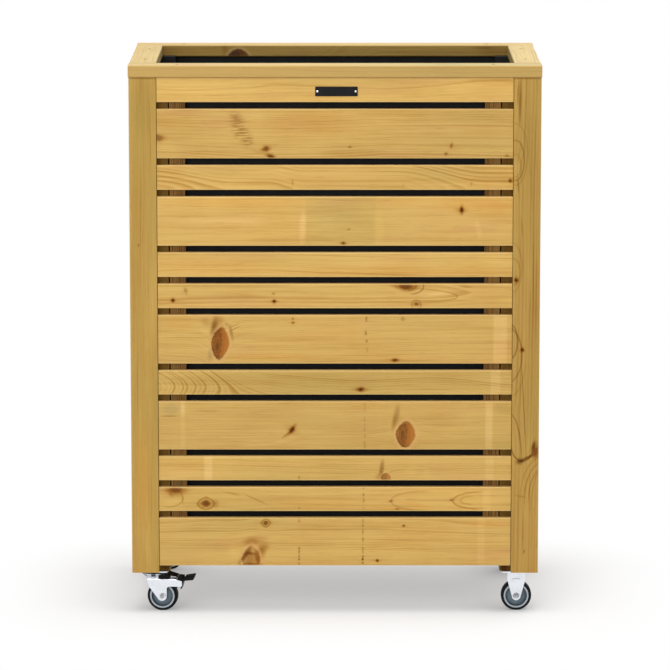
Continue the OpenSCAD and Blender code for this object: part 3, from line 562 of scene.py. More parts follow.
# The front slats from the top down
FRONT_BOARDS = (
    Board(
        pith=(0.03, 0.06), taper=0.003, tone=1.04, contrast=0.8,
        # The first stain, a dark line along the top edge, is a painted shadow under the rim
        stains=spots(
            ("branch", 0, 23.2, 600, 1.4, 0.75), ("yellow", -263.4, 2.5, 54.6, 17.5, 0.7),
            ("orange", -10.1, -16.9, 77.9, 7.8, 0.4), ("yellow", 243.2, 10.3, 39, 17.5, 0.6),
            ("pink", 301.6, -16.9, 15.6, 5.8, 0.4),
        ),
    ),
    Board(
        pith=(-0.07, 0.045), taper=0.006, tone=0.93, contrast=1.1,
        knots=knots(
            (-342.4, -7.8, 9.7, 5.8, 0.55), (-133.9, -29.2, 6.2, 5.1, 0.75, 20),
            (-124.1, -44.7, 6.8, 4.5, 0.85, -20), (28.8, -25.3, 2.5, 2.1, 0.4),
            (225.3, -23.3, 2.3, 4.7, 0.5, -15), (215.1, -38.9, 2.9, 2.1, 0.65), (332.8, -42.8, 3.5, 1.9, 0.5),
        ),
        stains=spots(
            ("dash", -185.5, 11.7, 13.6, 31.2, 0.9, 22), ("dash", -168, -11.7, 9.7, 11.7, 0.7),
            ("yellow", -154.3, 31.1, 17.5, 13.6, 0.7), ("pink", -298.5, 42.8, 39, 7.8, 0.7),
            ("yellow", -321.9, -31.1, 17.5, 9.7, 0.6), ("brown", 32.7, -37, 58.5, 5.8, 0.25),
            ("olive", 262.7, 33.1, 58.5, 11.7, 0.6), ("yellow", 204.2, -33.1, 77.9, 9.7, 0.4),
        ),
    ),
    Board(
        pith=(-0.026, 0.01), taper=0.004, contrast=1.6, wander=0.12, ring=2.6,
        knots=knots((339.6, -5.8, 3.1, 2.9, 0.8)),
        stains=spots(
            ("orange", -288.8, -19.5, 6.8, 4.9, 0.9), ("orange", 293.8, -13.6, 7.8, 5.1, 0.8),
            ("brown", 264.6, -11.7, 1.8, 4.3, 0.5), ("brown", 132.1, -15.6, 1.4, 4.9, 0.35),
            ("olive", -234.2, 13.6, 58.5, 9.7, 0.5), ("olive", 204.2, 9.7, 87.7, 11.7, 0.6),
            ("brown", -82.2, -9.7, 2.3, 5.8, 0.5),
        ),
        bends=((-0.36, -0.2, 0.018), (-0.13, -0.06, 0.009), (0.12, 0.29, 0.028)),
    ),
    Board(
        pith=(0.09, 0.07), taper=0.003, contrast=0.55,
        knots=knots((245.7, 22.4, 3.1, 6.2, 1), (16.2, -42.8, 3.9, 2.7, 0.75), (26.9, -15.6, 1.8, 1.6, 0.4)),
        stains=spots(
            ("pale", -62.7, -11.7, 6.2, 29.2, 1, -3), ("grey", -3.5, 15, 52, 30, 0.25),
            ("olive", 28.8, -11.7, 81.8, 58.5, 0.4), ("pale", -201.1, 0, 101.3, 7.8, 0.7),
            ("orange", -185.5, 37, 136.4, 9.7, 0.9), ("yellow", 85.3, -15.6, 9.7, 31.2, 0.8),
            ("pale", 278.3, -15.6, 5.8, 17.5, 0.5, 12), ("orange", 262.7, 31.1, 77.9, 11.7, 0.7),
            ("orange", 126.3, 38.9, 39, 7.8, 0.6), ("brown", 245.1, 21.4, 9.7, 4.7, 0.35),
        ),
        strips=((-0.0565, 0.078, -0.45),),
    ),
    Board(
        pith=(-0.05, 0.045), taper=0.003, tone=1.01, contrast=1.1,
        stains=spots(
            ("orange", 204.2, -14.4, 116.9, 2.5, 0.9), ("orange", 184.7, -6.6, 136.4, 1.9, 0.6),
            ("orange", -244, -4.7, 116.9, 15.6, 0.5), ("orange", -68.6, -12.5, 77.9, 3.9, 0.6),
            ("yellow", -10.1, 7, 116.9, 7.8, 0.5),
        ),
    ),
    Board(
        pith=(0.004, 0.012), taper=0.004, contrast=1.1, ring=2,
        knots=knots(
            (-315.7, -8.4, 3.3, 3.1, 1), (-118.3, -10.3, 3.3, 3.1, 1), (-119.6, 5.3, 2.7, 1.8, 0.35),
            (137, 19.5, 13.5, 6.2, 0.8, -5), (158.4, -15.5, 4.7, 3.5, 0.6),
            (-290.7, 11.1, 2.7, 4.3, 0.25, 20),
        ),
        stains=spots(
            ("brown", 254.9, 18.5, 11.7, 1.8, 0.6, -6), ("pale", 206.8, 5.3, 31.2, 5.1, 0.7, 4),
            ("brown", 140, 18.9, 19.5, 7.8, 0.5, -6), ("olive", -68.6, 13, 116.9, 11.7, 0.4),
        ),
        loops=spots(
            ("branch", 150, 20.5, 22.4, 15.8, 0.7, 0, 1), ("brown", 142, 21, 16, 9.5, 0.7, 0, 1),
            ("brown", 160, 3, 78, 11.5, 0.55, -3, 1), ("brown", 158.4, -16.5, 9, 8.5, 0.6),
        ),
        bends=((0.175, 0.2822, 0.004),),
    ),
    Board(
        pith=(-0.09, 0.06), taper=0.005, tone=0.965, contrast=0.8,
        knots=knots(
            (-223.5, -7.5, 17.2, 31.2, 0.92, -7), (-82.2, 40.9, 2.1, 1.9, 0.45), (-81.8, 33.1, 2.5, 1.9, 0.6),
            (132.1, 40.9, 2.7, 4.3, 0.25), (117, -40.9, 5.2, 2.9, 0.9),
        ),
        stains=spots(
            ("branch", -235.5, 20.5, 6.2, 20.5, 0.8, -6), ("brown", -228.5, 28.2, 11.5, 19, 0.7, -5),
            ("branch", -202.5, 12.5, 3.4, 14.5, 0.6, 10), ("brown", -300, 3.6, 45, 0.8, 0.7),
            ("brown", -197, 20.5, 14, 0.9, 0.8, 24), ("brown", -199, 26.2, 14, 0.9, 0.6, 24),
            ("green", -242, -27.2, 5.1, 13.6, 0.9, -8), ("brown", -251.8, 35, 9.7, 7.8, 0.4, -30),
            ("orange", -306.3, 33.1, 35.1, 15.6, 0.7), ("orange", -127, -35, 77.9, 7.8, 0.8),
            ("pale", -251.8, 13.6, 7.8, 9.7, 0.4, 40), ("pink", -49.1, -37, 11.7, 5.8, 0.3),
            ("brown", -210.8, 29.2, 3.9, 4.9, 0.5, 30),
        ),
        strips=((0.3094, 0.3348, 0.8),),
        marks=(
            (0.0612, 0.035, 0.0457, 0.7), (0.06, 0.0078, 0.0195, 0.7), (0.0616, -0.0078, 0, 0.6),
            (0.0629, -0.0292, -0.0156, 0.3),
        ),
    ),
    Board(
        pith=(-0.0105, 0.036), taper=0.01, tone=0.96, contrast=2.1, wander=0.1, ring=1.1,
        knots=knots((50.3, -13.6, 5.2, 3.5, 1)),
        stains=spots(
            ("olive", -10.1, 1, 428.7, 27.3, 1), ("pink", 58.1, 2.9, 31.2, 11.7, 0.7),
            ("brown", 50.3, -13.6, 13.6, 4.7, 0.6), ("yellow", -263.4, 18.5, 58.5, 5.8, 0.4),
            ("yellow", -142.6, 16.5, 15.6, 5.8, 0.5),
        ),
        bends=((-0.4, -0.17, 0.052), (-0.17, 0.05, 0.008), (0.06, 0.2, -0.006), (0.2, 0.34, 0.008)),
        dips=((-0.25, -0.12, 0.03),), strips=((0.3046, 0.3221, 0.7),),
    ),
    Board(
        pith=(0.07, 0.05), taper=-0.006, tone=0.92, contrast=0.9,
        knots=knots((138.5, -17.5, 18.8, 25.8, 0.88, -6), (-84.2, -8.2, 3.6, 8.2, 1, -35)),
        stains=spots(
            ("brown", -94.9, -18.5, 9, 2.5, 0.8, 38), ("branch", 120.5, 20.5, 5.5, 18.5, 0.5, -8),
            ("brown", 115, 4, 4, 14, 0.6, -8), ("grey", -321.9, 33.1, 17.5, 11.7, 0.8),
            ("pale", -297.9, 33.1, 4.3, 11.7, 0.7), ("branch", -325.8, 18.9, 15.6, 1, 0.8),
            ("pale", -97.8, -29.2, 27.3, 4.3, 0.4, 14), ("orange", 134.1, -42.8, 23.4, 3.9, 0.4),
            ("olive", 328.9, 33.1, 15.6, 11.7, 0.8), ("brown", -251.8, 29.2, 27.3, 1.9, 0.4),
            ("brown", 135, 1.9, 17.5, 13.6, 0.2),
        ),
        strips=((0.2948, 0.3075, 0.9), (-0.3014, -0.2936, 0.4)), marks=((0.0581, -0.0467, 0.0447, 0.35),),
    ),
    Board(
        pith=(-0.05, 0.06), taper=0.006, tone=0.99, contrast=0.7, knots=knots((100, -18.5, 9.7, 9.7, 0.7)),
        stains=spots(
            ("branch", 91.5, -1, 4.2, 16.5, 0.75, -6), ("brown", 87.3, -17.5, 7.8, 7.8, 0.5),
            ("yellow", 147.7, -7.8, 9.7, 7.8, 0.7), ("yellow", 178.9, -9.7, 6.8, 9.7, 0.6),
            ("yellow", 165.2, 15.6, 15.6, 5.8, 0.5), ("pale", -302.4, -9.7, 39, 9.7, 0.3),
            ("olive", 19.1, -3.9, 46.8, 15.6, 0.5),
        ),
        strips=((-0.2557, -0.241, 0.9), (0.2948, 0.3104, 0.5)), marks=((-0.0705, -0.0214, -0.0156, 0.5),),
    ),
    Board(
        pith=(-0.002, 0.004), taper=-0.004, tone=0.99, contrast=1.3, wander=0.15, ring=2.6,
        knots=knots(
            (-313.1, 18.5, 12.5, 6.6, 0.7), (-253.1, -8.8, 8.5, 6.2, 0.8, 0, 1.95),
            (122.4, -19.5, 3.9, 1.9, 0.4), (109.7, -3.9, 3.1, 1.9, 0.5, 10), (228.6, -1.9, 3.1, 1.9, 0.5, 10),
        ),
        stains=spots(
            ("pink", -314.1, 19.5, 25.3, 5.8, 0.8), ("brown", -311, 16.5, 21, 8.5, 0.5),
            ("brown", -234, -9.5, 5.5, 8.5, 0.45), ("brown", -321.9, 9.7, 3.9, 5.8, 0.5, 30),
            ("brown", -299.5, 0, 1.9, 9.7, 0.4, 10), ("yellow", -318, -9.7, 15.6, 9.7, 0.6),
            ("orange", -49.1, -9.7, 77.9, 11.7, 0.5), ("brown", -203, 11.7, 15.6, 1.6, 0.5, -12),
            ("brown", -156.3, 0, 23.4, 1.4, 0.6, -25), ("orange", 160, -12, 30, 4, 0.9, -12),
            ("orange", 110, -18, 30, 3, 0.8, -6),
        ),
        loops=spots(
            ("brown", 280.5, -2.5, 49, 16.5, 0.7, 1, -1), ("brown", 268, -2.5, 22, 7.5, 0.4, 0, -1),
            ("brown", 170, -3.5, 60.5, 18.5, 0.45, 0, -1), ("brown", -330, 4, 32, 19, 0.5, -6, 1),
        ),
        bends=((-0.2147, -0.1173, 0.004), (0.097, 0.1458, -0.0035), (0.214, 0.2627, -0.004)),
        strips=((0.2909, 0.3046, 0.35),),
        marks=((0.0561, -0.0214, 0.0233, 0.65), (-0.0705, -0.0214, -0.0097, 0.8)),
    ),
    Board(
        pith=(0.05, 0.04), taper=0.004, tone=0.98,
        knots=knots(
            (-135.8, 37.9, 4.8, 4.3, 0.7, 0, 1.9), (-165, -34, 17.5, 24.5, 0.4, -4),
            (135, 32.1, 2.1, 1.9, 0.8), (83.4, -37.9, 2.7, 2.5, 0.85),
        ),
        stains=spots(
            ("brown", -140.7, -12.6, 11.7, 7.8, 0.7, 28), ("brown", -152.4, 2.9, 19.5, 9.7, 0.35, 10),
            ("yellow", -199.1, -18.5, 11.7, 15.6, 0.7), ("orange", 301.6, 36, 48.7, 7.8, 0.8),
            ("yellow", -234.2, 14.6, 97.4, 7.8, 0.4), ("branch", -179.7, -32.1, 14.5, 4.2, 1, 53),
            ("branch", -170.5, -18.5, 9.5, 4.5, 0.75, 62), ("branch", -167, -23.8, 12.5, 3.4, 0.95, -4),
            ("branch", -151.5, -35, 17.5, 4.6, 1, -75), ("brown", -145.5, -21.5, 8, 11.5, 0.85),
            ("brown", -164, -39, 15.5, 12.5, 0.55), ("branch", -164, -47.5, 22, 4.5, 0.9),
            ("pale", -178.2, -37.2, 8.5, 2.4, 1, 58), ("brown", -165.5, 1, 14, 8, 0.6),
        ),
        strips=((0.2802, 0.2938, 0.4),),
        marks=(
            (0.0548, -0.0438, 0.0457, 0.6), (0.0542, -0.0438, -0.0302, 1), (-0.0705, -0.0457, -0.0088, 0.8),
            (-0.0705, 0.0399, 0.0467, 0.6),
        ),
    ),
)


# The posts: front left, front right, rear left, rear right
POST_BOARDS = (
    Board(
        pith=(0.12, 0.09), taper=0.002, contrast=0.35, knots=knots((162, -20, 1.5, 1.3, 0.5)),
        stains=spots(
            ("olive", 440, -10, 60, 30, 1), ("yellow", 50, 6, 120, 8, 0.6, 2),
            ("orange", -300, -15, 100, 12, 0.8), ("olive", -120, 12, 90, 4, 0.8),
            ("orange", 250, -20, 70, 10, 0.5), ("yellow", -100, -2, 80, 5, 0.6, -2),
            # The dark band at the top end is a painted shadow under the rim
            ("branch", 487.5, 0, 1.5, 60, 0.6), ("pale", 80, 13, 140, 8, 0.4),
            ("brown", 200, -16, 120, 0.8, 0.5, 0.6), ("brown", -80, -24, 140, 0.8, 0.5),
            ("brown", 380, 4, 70, 0.9, 0.5, -1), ("brown", -330, 2, 90, 0.8, 0.4, 1),
            # Painted shade at the foot of the inner side, under the bottom slat
            ("branch", -480, 29, 20, 8.5, 0.9),
        ),
    ),
    Board(
        pith=(-0.03, -0.012), taper=-0.01, tone=0.95, contrast=1.3, ring=1.9, wander=0.5,
        knots=knots(
            (93.6, -9.2, 3.8, 3.4, 1), (-44.3, 3.6, 3.6, 3.2, 1), (-246.1, 31.5, 9.5, 7.2, 0.6),
            (312.8, -6.5, 19, 8, 0), (-175, -14, 30, 8, 0),
        ),
        stains=spots(
            ("branch", 442.4, -3.5, 42, 2.6, 0.75, 1), ("brown", 460, -8, 24, 1.5, 0.8, 3),
            ("pale", 313, -8.5, 14, 4.8, 1), ("branch", 277.9, -6.4, 14, 1.1, 0.6, -3),
            ("brown", 198.6, 1.3, 18, 1, 0.7, -4), ("brown", 20, 18, 60, 0.9, 0.5, 1),
            ("brown", 88.4, 23.9, 90, 1.1, 0.7), ("brown", 60, 29.9, 80, 1.1, 0.6),
            ("olive", 360, 10, 80, 20, 0.7), ("branch", -150, 7, 100, 1, 0.7, -3),
            ("branch", -259.2, 13.8, 18.5, 3, 1, 63.4), ("branch", -265.5, 0.5, 6, 7, 0.85),
            ("branch", -235, 26.5, 9, 2.8, 0.85, 12), ("brown", -335.7, 2.3, 1.6, 10, 0.5, 10),
            ("branch", -446.3, 10.1, 4, 1.2, 0.8, 20), ("brown", -408.1, 7.6, 45, 1, 0.7),
            # A painted shadow under the rim at the top end, and painted shade at the foot of the inner side,
            # under the bottom slat
            ("branch", 487.5, 0, 1.5, 60, 0.6), ("branch", -480, -29, 20, 8.5, 1),
            ("brown", -243, 29.9, 15, 7, 0.6),
        ),
        loops=spots(
            ("brown", 328.2, -11.5, 39, 16.3, 0.75), ("brown", 318, -11.5, 22, 9.5, 0.3),
            ("brown", 340, -11.5, 60, 22.5, 0.35), ("brown", 109.7, -14.5, 26, 12.8, 0.5),
            ("brown", 118, -16.5, 48, 18.5, 0.4), ("branch", -27.8, -17.5, 32, 11.5, 0.6),
            ("branch", -55, -29.3, 57, 32.5, 0.5), ("brown", -72, -29.3, 70, 38.5, 0.35, 0, -1),
            ("branch", -261.2, -19.4, 88.5, 22.5, 0.65, 0, 1), ("branch", -226, 5.5, 39.5, 23.5, 0.8, 0, -1),
            ("brown", -341.7, 49.6, 76.5, 39.4, 0.7, 0, 1), ("brown", -341.7, 49.6, 64, 31, 0.7, 0, 1),
            ("brown", -341.7, 49.6, 88, 48, 0.45, 0, 1), ("brown", -360, 49.6, 85, 26, 0.45, 0, 1),
        ),
    ),
    Board(pith=(-0.05, 0.07), taper=0.008, contrast=0.7, knots=knots((200, 10, 8, 7, 0.8))),
    Board(pith=(0.06, -0.06), contrast=0.8),
)


# The rim: front, rear, left, right
RIM_BOARDS = (
    Board(
        pith=(-0.05, -0.06), taper=0.004, ring=1.4,
        stains=spots(
            ("olive", 260, 0, 200, 60, 0.8), ("brown", 215, 10, 30, 50, 0.2),
            ("yellow", -150, 0, 200, 60, 0.3), ("pink", -280, 0, 40, 60, 0.5),
        ),
    ),
    Board(
        pith=(0.05, 0.04), taper=0.004, ring=1.4,
        knots=knots((-194.5, -12.5, 21, 16.5, 1)), bends=((-0.06, 0.1, 0.045),),
        stains=spots(
            ("brown", -222, 4, 6, 20, 0.5, 8), ("brown", 330, 0, 40, 30, 0.45),
            ("brown", -345, 0, 30, 30, 0.3), ("brown", 300, 6, 20, 2, 0.8),
        ),
    ),
    Board(pith=(0.11, -0.07), taper=0.004, ring=1.4),
    Board(pith=(-0.1, -0.08), taper=0.004, ring=1.4),
)


def swatch(name, description, value):
    return bpy.props.FloatVectorProperty(
        name=name, description=description, subtype="COLOR", size=3, min=0, max=1, default=value
    )


def measure(name, description, least, most, value, subtype="NONE", unit="NONE"):
    return bpy.props.FloatProperty(
        name=name, description=description, min=least, max=most, default=value, subtype=subtype, unit=unit
    )


def watts(name, description, value):
    return measure(name, description, 0, 2000, value, "POWER", "POWER")


class TimberSettings(bpy.types.PropertyGroup):
    """Colours and measures of the timber."""

    slat_pale: swatch("Slats, early wood", "The slats between the growth rings", (0.67, 0.432, 0.13))
    slat_deep: swatch("Slats, late wood", "The slats' growth rings", (0.44, 0.225, 0.043))
    post_pale: swatch("Posts, early wood", "The posts between the growth rings", (0.522, 0.322, 0.081))
    post_deep: swatch("Posts, late wood", "The posts' growth rings", (0.33, 0.165, 0.03))
    rim_pale: swatch("Rim, early wood", "The rim between the growth rings", (0.465, 0.282, 0.067))
    rim_deep: swatch("Rim, late wood", "The rim's growth rings", (0.3, 0.145, 0.026))
    # The inner timber is half as bright as the slats: a painted shade for what lies behind them
    inner_pale: swatch("Inner timber, early wood", "Battens, bearers and planks", (0.33, 0.19, 0.05))
    inner_deep: swatch("Inner timber, late wood", "Their growth rings", (0.1, 0.042, 0.01))
    knot_colour: swatch("Knots", "The knots' outer part", (0.44, 0.15, 0.02))
    knot_deep: swatch("Knots' hearts", "The deep middle of a knot", (0.23, 0.055, 0.002))
    knot_collar: swatch("Knots' collars", "The pale band round a large knot", (0.66, 0.37, 0.14))
    knot_core: swatch("Knots' dark rings", "Bark and heart in a knot", (0.085, 0.022, 0.001))
    ring_width: measure("Ring width", "Mean width of a ring", 0.001, 0.01, 0.0027, "DISTANCE", "LENGTH")
    ring_contrast: measure("Ring contrast", "How strongly the rings show", 0, 2, 0.42, "FACTOR")


class CasterSettings(bpy.types.PropertyGroup):
    """Colours of the casters, the liner and the label plate."""

    zinc: swatch("Zinc", "The plated steel", (0.8, 0.83, 0.88))
    rubber: swatch("Rubber", "The tyres", (0.0035, 0.0052, 0.0075))
    hub_ring: swatch("Wheel ring", "The pale ring inside the tyre", (0.4, 0.45, 0.49))
    hub_dish: swatch("Wheel dish", "The wheel's recessed disc", (0.085, 0.12, 0.15))
    plastic: swatch("Brake plastic", "The brakes' mouldings", (0.0035, 0.0035, 0.004))
    liner: swatch("Liner", "The liner", (0.0035, 0.004, 0.0045))
    plate: swatch("Label plate", "The blank label plate", (0.005, 0.005, 0.006))


class StageSettings(bpy.types.PropertyGroup):
    """Camera, lamps and floor."""

    distance: measure("Camera distance", "Level, to the box's middle", 1, 40, 8.5, "DISTANCE", "LENGTH")
    height: measure("Camera height", "Above the floor", 0, 10, 1.9727, "DISTANCE", "LENGTH")
    pitch: measure(
        "Camera pitch", "How far the camera looks down", 0, 1.5, math.radians(9.697), "ANGLE", "ROTATION"
    )
    lens: measure(
        "Lens", "Focal length on a sensor 36 mm wide", 20, 500, 231.6, "DISTANCE_CAMERA", "CAMERA"
    )
    sky: measure("Sky", "Brightness of the world", 0, 3, 0.5)
    top_power: watts("Top lamp", "The large lamp above", 75)
    front_power: watts("Front lamp", "The large lamp in front", 80)
    rear_power: watts("Rear lamp", "The large lamp behind", 45)


# --- Pieces ---------------------------------------------------------------------------------------


class PlanterOperator:
    """Shared by the operators: they work on the loaded frame, without a selection."""

    bl_options = {"REGISTER"}

    def execute(self, context):
        self.build(context.scene)
        return {"FINISHED"}


class PLANTER_OT_front_slats(PlanterOperator, bpy.types.Operator):
    """Dress the twelve front slats, each with its own grain and knots"""

    bl_idname = "planter.front_slats"
    bl_label = "Front slats"

    def build(self, scene):
        settings = scene.planter_timber
        for number, (node, board) in enumerate(zip(FRONT_SLATS, FRONT_BOARDS)):
            look = look_of(settings, settings.slat_pale, settings.slat_deep, board.tone)
            timber(node, look, (X, Z, Y), number + 1.3, board)


class PLANTER_OT_other_slats(PlanterOperator, bpy.types.Operator):
    """Dress the slats of the rear and side walls, board by board"""

    bl_idname = "planter.other_slats"
    bl_label = "Rear and side slats"

    def build(self, scene):
        settings = scene.planter_timber
        look = look_of(settings, settings.slat_pale, settings.slat_deep)
        for wall, (node, along, depth, side) in enumerate((
            ("rear_slats", X, Y, -1), ("left_slats", Y, X, 1), ("right_slats", Y, X, -1),
        )):
            rows = []
            for number, slat in enumerate(reversed(FRONT_SLATS)):
                swing = math.sin(number * 2.4 + wall * 1.7)
                seed = (number * 0.37 + wall * 0.21) % 1
                rows.append((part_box(slat)[0].z - 0.005, middle(slat).z + 0.06 * swing, seed))
            reach = (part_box(node)[1][along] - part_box(node)[0][along]) / 2
            wall_knots = []
            for number in range(11):
                size = ((number * 0.62 + wall * 0.3) % 1) ** 3
                place = (reach * math.sin(number * 2.1 + wall), -0.42 + 0.082 * number)
                wall_knots.append(
                    Spot("knot", *place, 0.003 + 0.012 * size, 0.003 + 0.011 * size, 0.8, 25 * number)
                )
            board = Board(
                pith=(0, side * 0.045), taper=0.014, contrast=1.35, ring=1.25, knots=wall_knots, rows=rows,
                bends=((-reach, reach * -0.3, 0.012), (reach * 0.1, reach * 0.8, -0.016)),
                marks=((reach * 0.27, -0.46, 0.46, 0.35), (reach * -0.52, -0.46, 0.1, 0.3)),
            )
            timber(node, look, (along, Z, depth), wall + 21.7, board)


def rebate_shade(x, y, z):
    """1 on the posts' faces that lie behind the slats, for painted shade."""
    low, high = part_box("front_slat_01")
    behind_y = abs(y).rise(-low.y - 0.004, -low.y - 0.008)
    return behind_y * abs(x).rise(high.x + 0.0535, high.x + 0.0495)


def rim_inside_shade(x, y, z):
    """1 on the rim's upright faces round the opening, for painted shade."""
    low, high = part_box("rim_left")
    return abs(x).rise(0.002 - high.x, -high.x) * abs(y).rise(high.y + 0.002, high.y)


class PLANTER_OT_posts(PlanterOperator, bpy.types.Operator):
    """Dress the four corner posts"""

    bl_idname = "planter.posts"
    bl_label = "Posts"

    def build(self, scene):
        settings = scene.planter_timber
        for number, (side, board) in enumerate(zip(
            ("front_left", "front_right", "rear_left", "rear_right"), POST_BOARDS,
        )):
            look = look_of(
                settings, settings.post_pale, settings.post_deep, board.tone, ring=0.003, contrast=0.4
            )
            timber("post_" + side, look, (Z, X, Y), number + 41.3, board, rebate_shade)


class PLANTER_OT_rim(PlanterOperator, bpy.types.Operator):
    """Dress the four rim boards"""

    bl_idname = "planter.rim"
    bl_label = "Rim"

    def build(self, scene):
        settings = scene.planter_timber
        # The inside tint is painted shade on the rim's inner faces; the top tint is a painted sheen on its
        # top faces
        look = look_of(
            settings, settings.rim_pale, settings.rim_deep, ring=0.0031, contrast=0.6, gloss=0.22,
            roughness=0.42, inside=(0.72, 0.78, 0.76), bleached=(1.29, 1.59, 2.3),
        )
        dark = {key: scaled(look[key], 0.4) for key in ("knot", "knot_deep", "knot_core")}
        for number, (side, axes) in enumerate((
            ("front", (X, Y, Z)), ("rear", (X, Z, Y)), ("left", (Y, X, Z)), ("right", (Y, X, Z)),
        )):
            finish = {**look, **dark} if side == "rear" else look
            timber("rim_" + side, finish, axes, number + 61.9, RIM_BOARDS[number], rim_inside_shade)


class PLANTER_OT_inner_timber(PlanterOperator, bpy.types.Operator):
    """Dress the battens, the floor bearers and the floor planks"""

    bl_idname = "planter.inner_timber"
    bl_label = "Battens and floor"

    def build(self, scene):
        settings = scene.planter_timber
        look = look_of(
            settings, settings.inner_pale, settings.inner_deep, roughness=0.75, gloss=0.25,
            relief=0.0005, contrast=1.1, ring=0.0034,
        )
        for number, (node, axes) in enumerate((
            ("front_battens", (Z, X, Y)), ("rear_battens", (Z, X, Y)), ("left_battens", (Z, Y, X)),
            ("right_battens", (Z, Y, X)), ("floor_bearers", (X, Y, Z)), ("floor_planks", (Y, X, Z)),
        )):
            timber(node, look, axes, number + 81.1, Board(pith=(0.02, 0.05)))


class PLANTER_OT_liner(PlanterOperator, bpy.types.Operator):
    """Dress the black liner"""

    bl_idname = "planter.liner"
    bl_label = "Liner"

    def build(self, scene):
        f = Finish("liner")
        x, y, z = f.place()
        sag = f.noise(x * 7, y * 7, z * 3, detail=3)
        crease = f.noise(x * 30, y * 30, z * 12)
        dust = f.speckle((x, y, z), 160, detail=3)
        base = tuple(scene.planter_casters.liner)
        pale = tuple(channel * k for channel, k in zip(base, (2.4, 3.4, 3.6)))
        # Dust and a painted sheen on the sagging folds lift the black towards a pale blue
        dress("liner", f.close(
            base_color=f.mix(dust.rise(0.5, 0.75) * 0.5 + sag.rise(0.5, 0.8) * 0.4, base, pale),
            roughness=sag * 0.2 + dust * 0.12 + 0.42,
            specular_ior_level=0.24,
            normal=f.bump(sag * 0.8 + crease * 0.25, 0.01),
        ))


class PLANTER_OT_label(PlanterOperator, bpy.types.Operator):
    """Dress the blank label plate and its pins"""

    bl_idname = "planter.label"
    bl_label = "Label plate"

    def build(self, scene):
        f = Finish("label_plate")
        x, _, z = f.place()
        brushed = f.noise(x * 40, 0.0, z * 2600)
        smear = f.noise(x * 55, 0.0, z * 55, detail=3)
        base = tuple(scene.planter_casters.plate)
        dress("label_plate", f.close(
            base_color=f.mix(smear.rise(0.45, 0.8) * 0.5, base, scaled(base, 2.5)),
            roughness=brushed * 0.14 + smear * 0.12 + 0.36,
            specular_ior_level=0.14,
            normal=f.bump(brushed, 0.00002),
        ))
        dress("label_pins", metal("label_pins", (0.86, 0.85, 0.82), 0.18, 900))


def metal(name, colour, roughness, scale, wear=0.12, shade=None, edge=(1, 1, 1)):
    """Bright metal with fine scratches and patches of duller plating; edge tints what it mirrors aslant.

    shade is a function of the three coordinates that gives 1 where painted shade darkens it: gaps, creases
    and rings round axles.
    """
    f = Finish(name)
    x, y, z = f.place()
    spangle = f.speckle((x, y, z), scale, roughness=0.6)
    scratch = f.noise(x * 90, y * 90, z * 1500, detail=1)
    dull = f.speckle((x, y, z), 42, detail=3).rise(0.42, 0.72)
    base = f.mix(dull * 0.3, colour, scaled(colour, 0.62))
    base = f.mix(spangle.rise(0.45, 0.7) * wear, base, scaled(colour, 0.4))
    if shade:
        # Painted shade, tinted almost black
        base = f.tint(shade(f, x, y, z), base, (0.06, 0.07, 0.08))
    return f.close(
        base_color=base,
        metallic=1.0,
        specular_tint=edge,
        roughness=(dull * 0.16 + spangle * 0.1 + scratch * 0.08 + roughness).least(0.9),
        normal=f.bump(spangle * 0.7 + scratch * 0.3, 0.00003),
    )


class PLANTER_OT_screws(PlanterOperator, bpy.types.Operator):
    """Dress the screws of the rim and of the caster plates"""

    bl_idname = "planter.screws"
    bl_label = "Screws"

    def build(self, scene):
        brown = metal("rim_screws", (0.06, 0.042, 0.025), 0.5, 1200, edge=(0.12, 0.08, 0.05))
        dress("rim_screws", brown)
        dress("caster_screws", metal("caster_screws", (0.78, 0.8, 0.84), 0.3, 1200))


class PLANTER_OT_caster_steel(PlanterOperator, bpy.types.Operator):
    """Dress plates, kingpins, balls, forks, brackets and axles"""

    bl_idname = "planter.caster_steel"
    bl_label = "Casters' steel"

    def build(self, scene):
        colour = tuple(scene.planter_casters.zinc)
        ball = metal("ball_steel", (0.8, 0.8, 0.82), 0.08, 1500, 0.04)
        for row in ("front", "rear"):
            left, right = row + "_left_", row + "_right_"
            # Painted shade: gaps round the bearing, the bracket's crease and rings round the axles
            marks = race_shade(left)
            dress(left + "plate", metal(row + "_plate", colour, 0.24, 700, shade=marks))
            dress(left + "balls", ball)
            dress(left + "kingpin", metal(row + "_kingpin", (0.66, 0.68, 0.72), 0.2, 1100))
            dress(left + "fork", metal(row + "_fork", colour, 0.22, 700, shade=marks))
            dress(right + "bracket", metal(row + "_bracket", colour, 0.24, 700, shade=crease(right)))
            for node in (left + "axle", right + "axle"):
                dress(node, metal(node, (0.72, 0.74, 0.78), 0.2, 1100, shade=rivet_shade(node)))


def pressed_ring_shade(x, z, centre):
    """Painted shade on a ring that is pressed into the steel round an axle, stronger on its upper side."""
    dx, dz = x - centre.x, z - centre.z
    ring = abs((dx * dx + dz * dz).root() - 0.006).rise(0.0013, 0.0004)
    return ring * (dx * 0.4 - dz).rise(0.0065, -0.002) * 0.62


def race_shade(caster):
    """Painted shade in the gaps round the bearing's dish, between plate and fork, and on the ring round the
    axle.
    """
    centre = middle(caster + "kingpin")
    axle = middle(caster + "axle")

    def shade(f, x, y, z):
        dx = abs(x - centre.x)
        lift = z - centre.z
        window = dx.rise(0.0052, 0.0038) * abs(lift - 0.0012).rise(0.0032, 0.0024)
        lip = abs(lift - dx * 0.515 + 0.0068).rise(0.002, 0.001) * dx.rise(0.0118, 0.0135)
        return (window.most(lip) * 0.95).most(pressed_ring_shade(x, z, axle))

    return shade


def crease(caster):
    """Painted shade along a short crease in the rigid bracket, pressed in above its wheel, and on the ring
    round its axle.
    """
    centre = middle(caster + "axle")

    def shade(f, x, y, z):
        dx = x - centre.x
        bow = abs(dx * dx * 14 + z - 0.0652)
        fold = bow.rise(0.0011, 0.0004) * abs(dx).rise(0.0088, 0.007) * 0.55
        return fold.most(pressed_ring_shade(x, z, centre))

    return shade


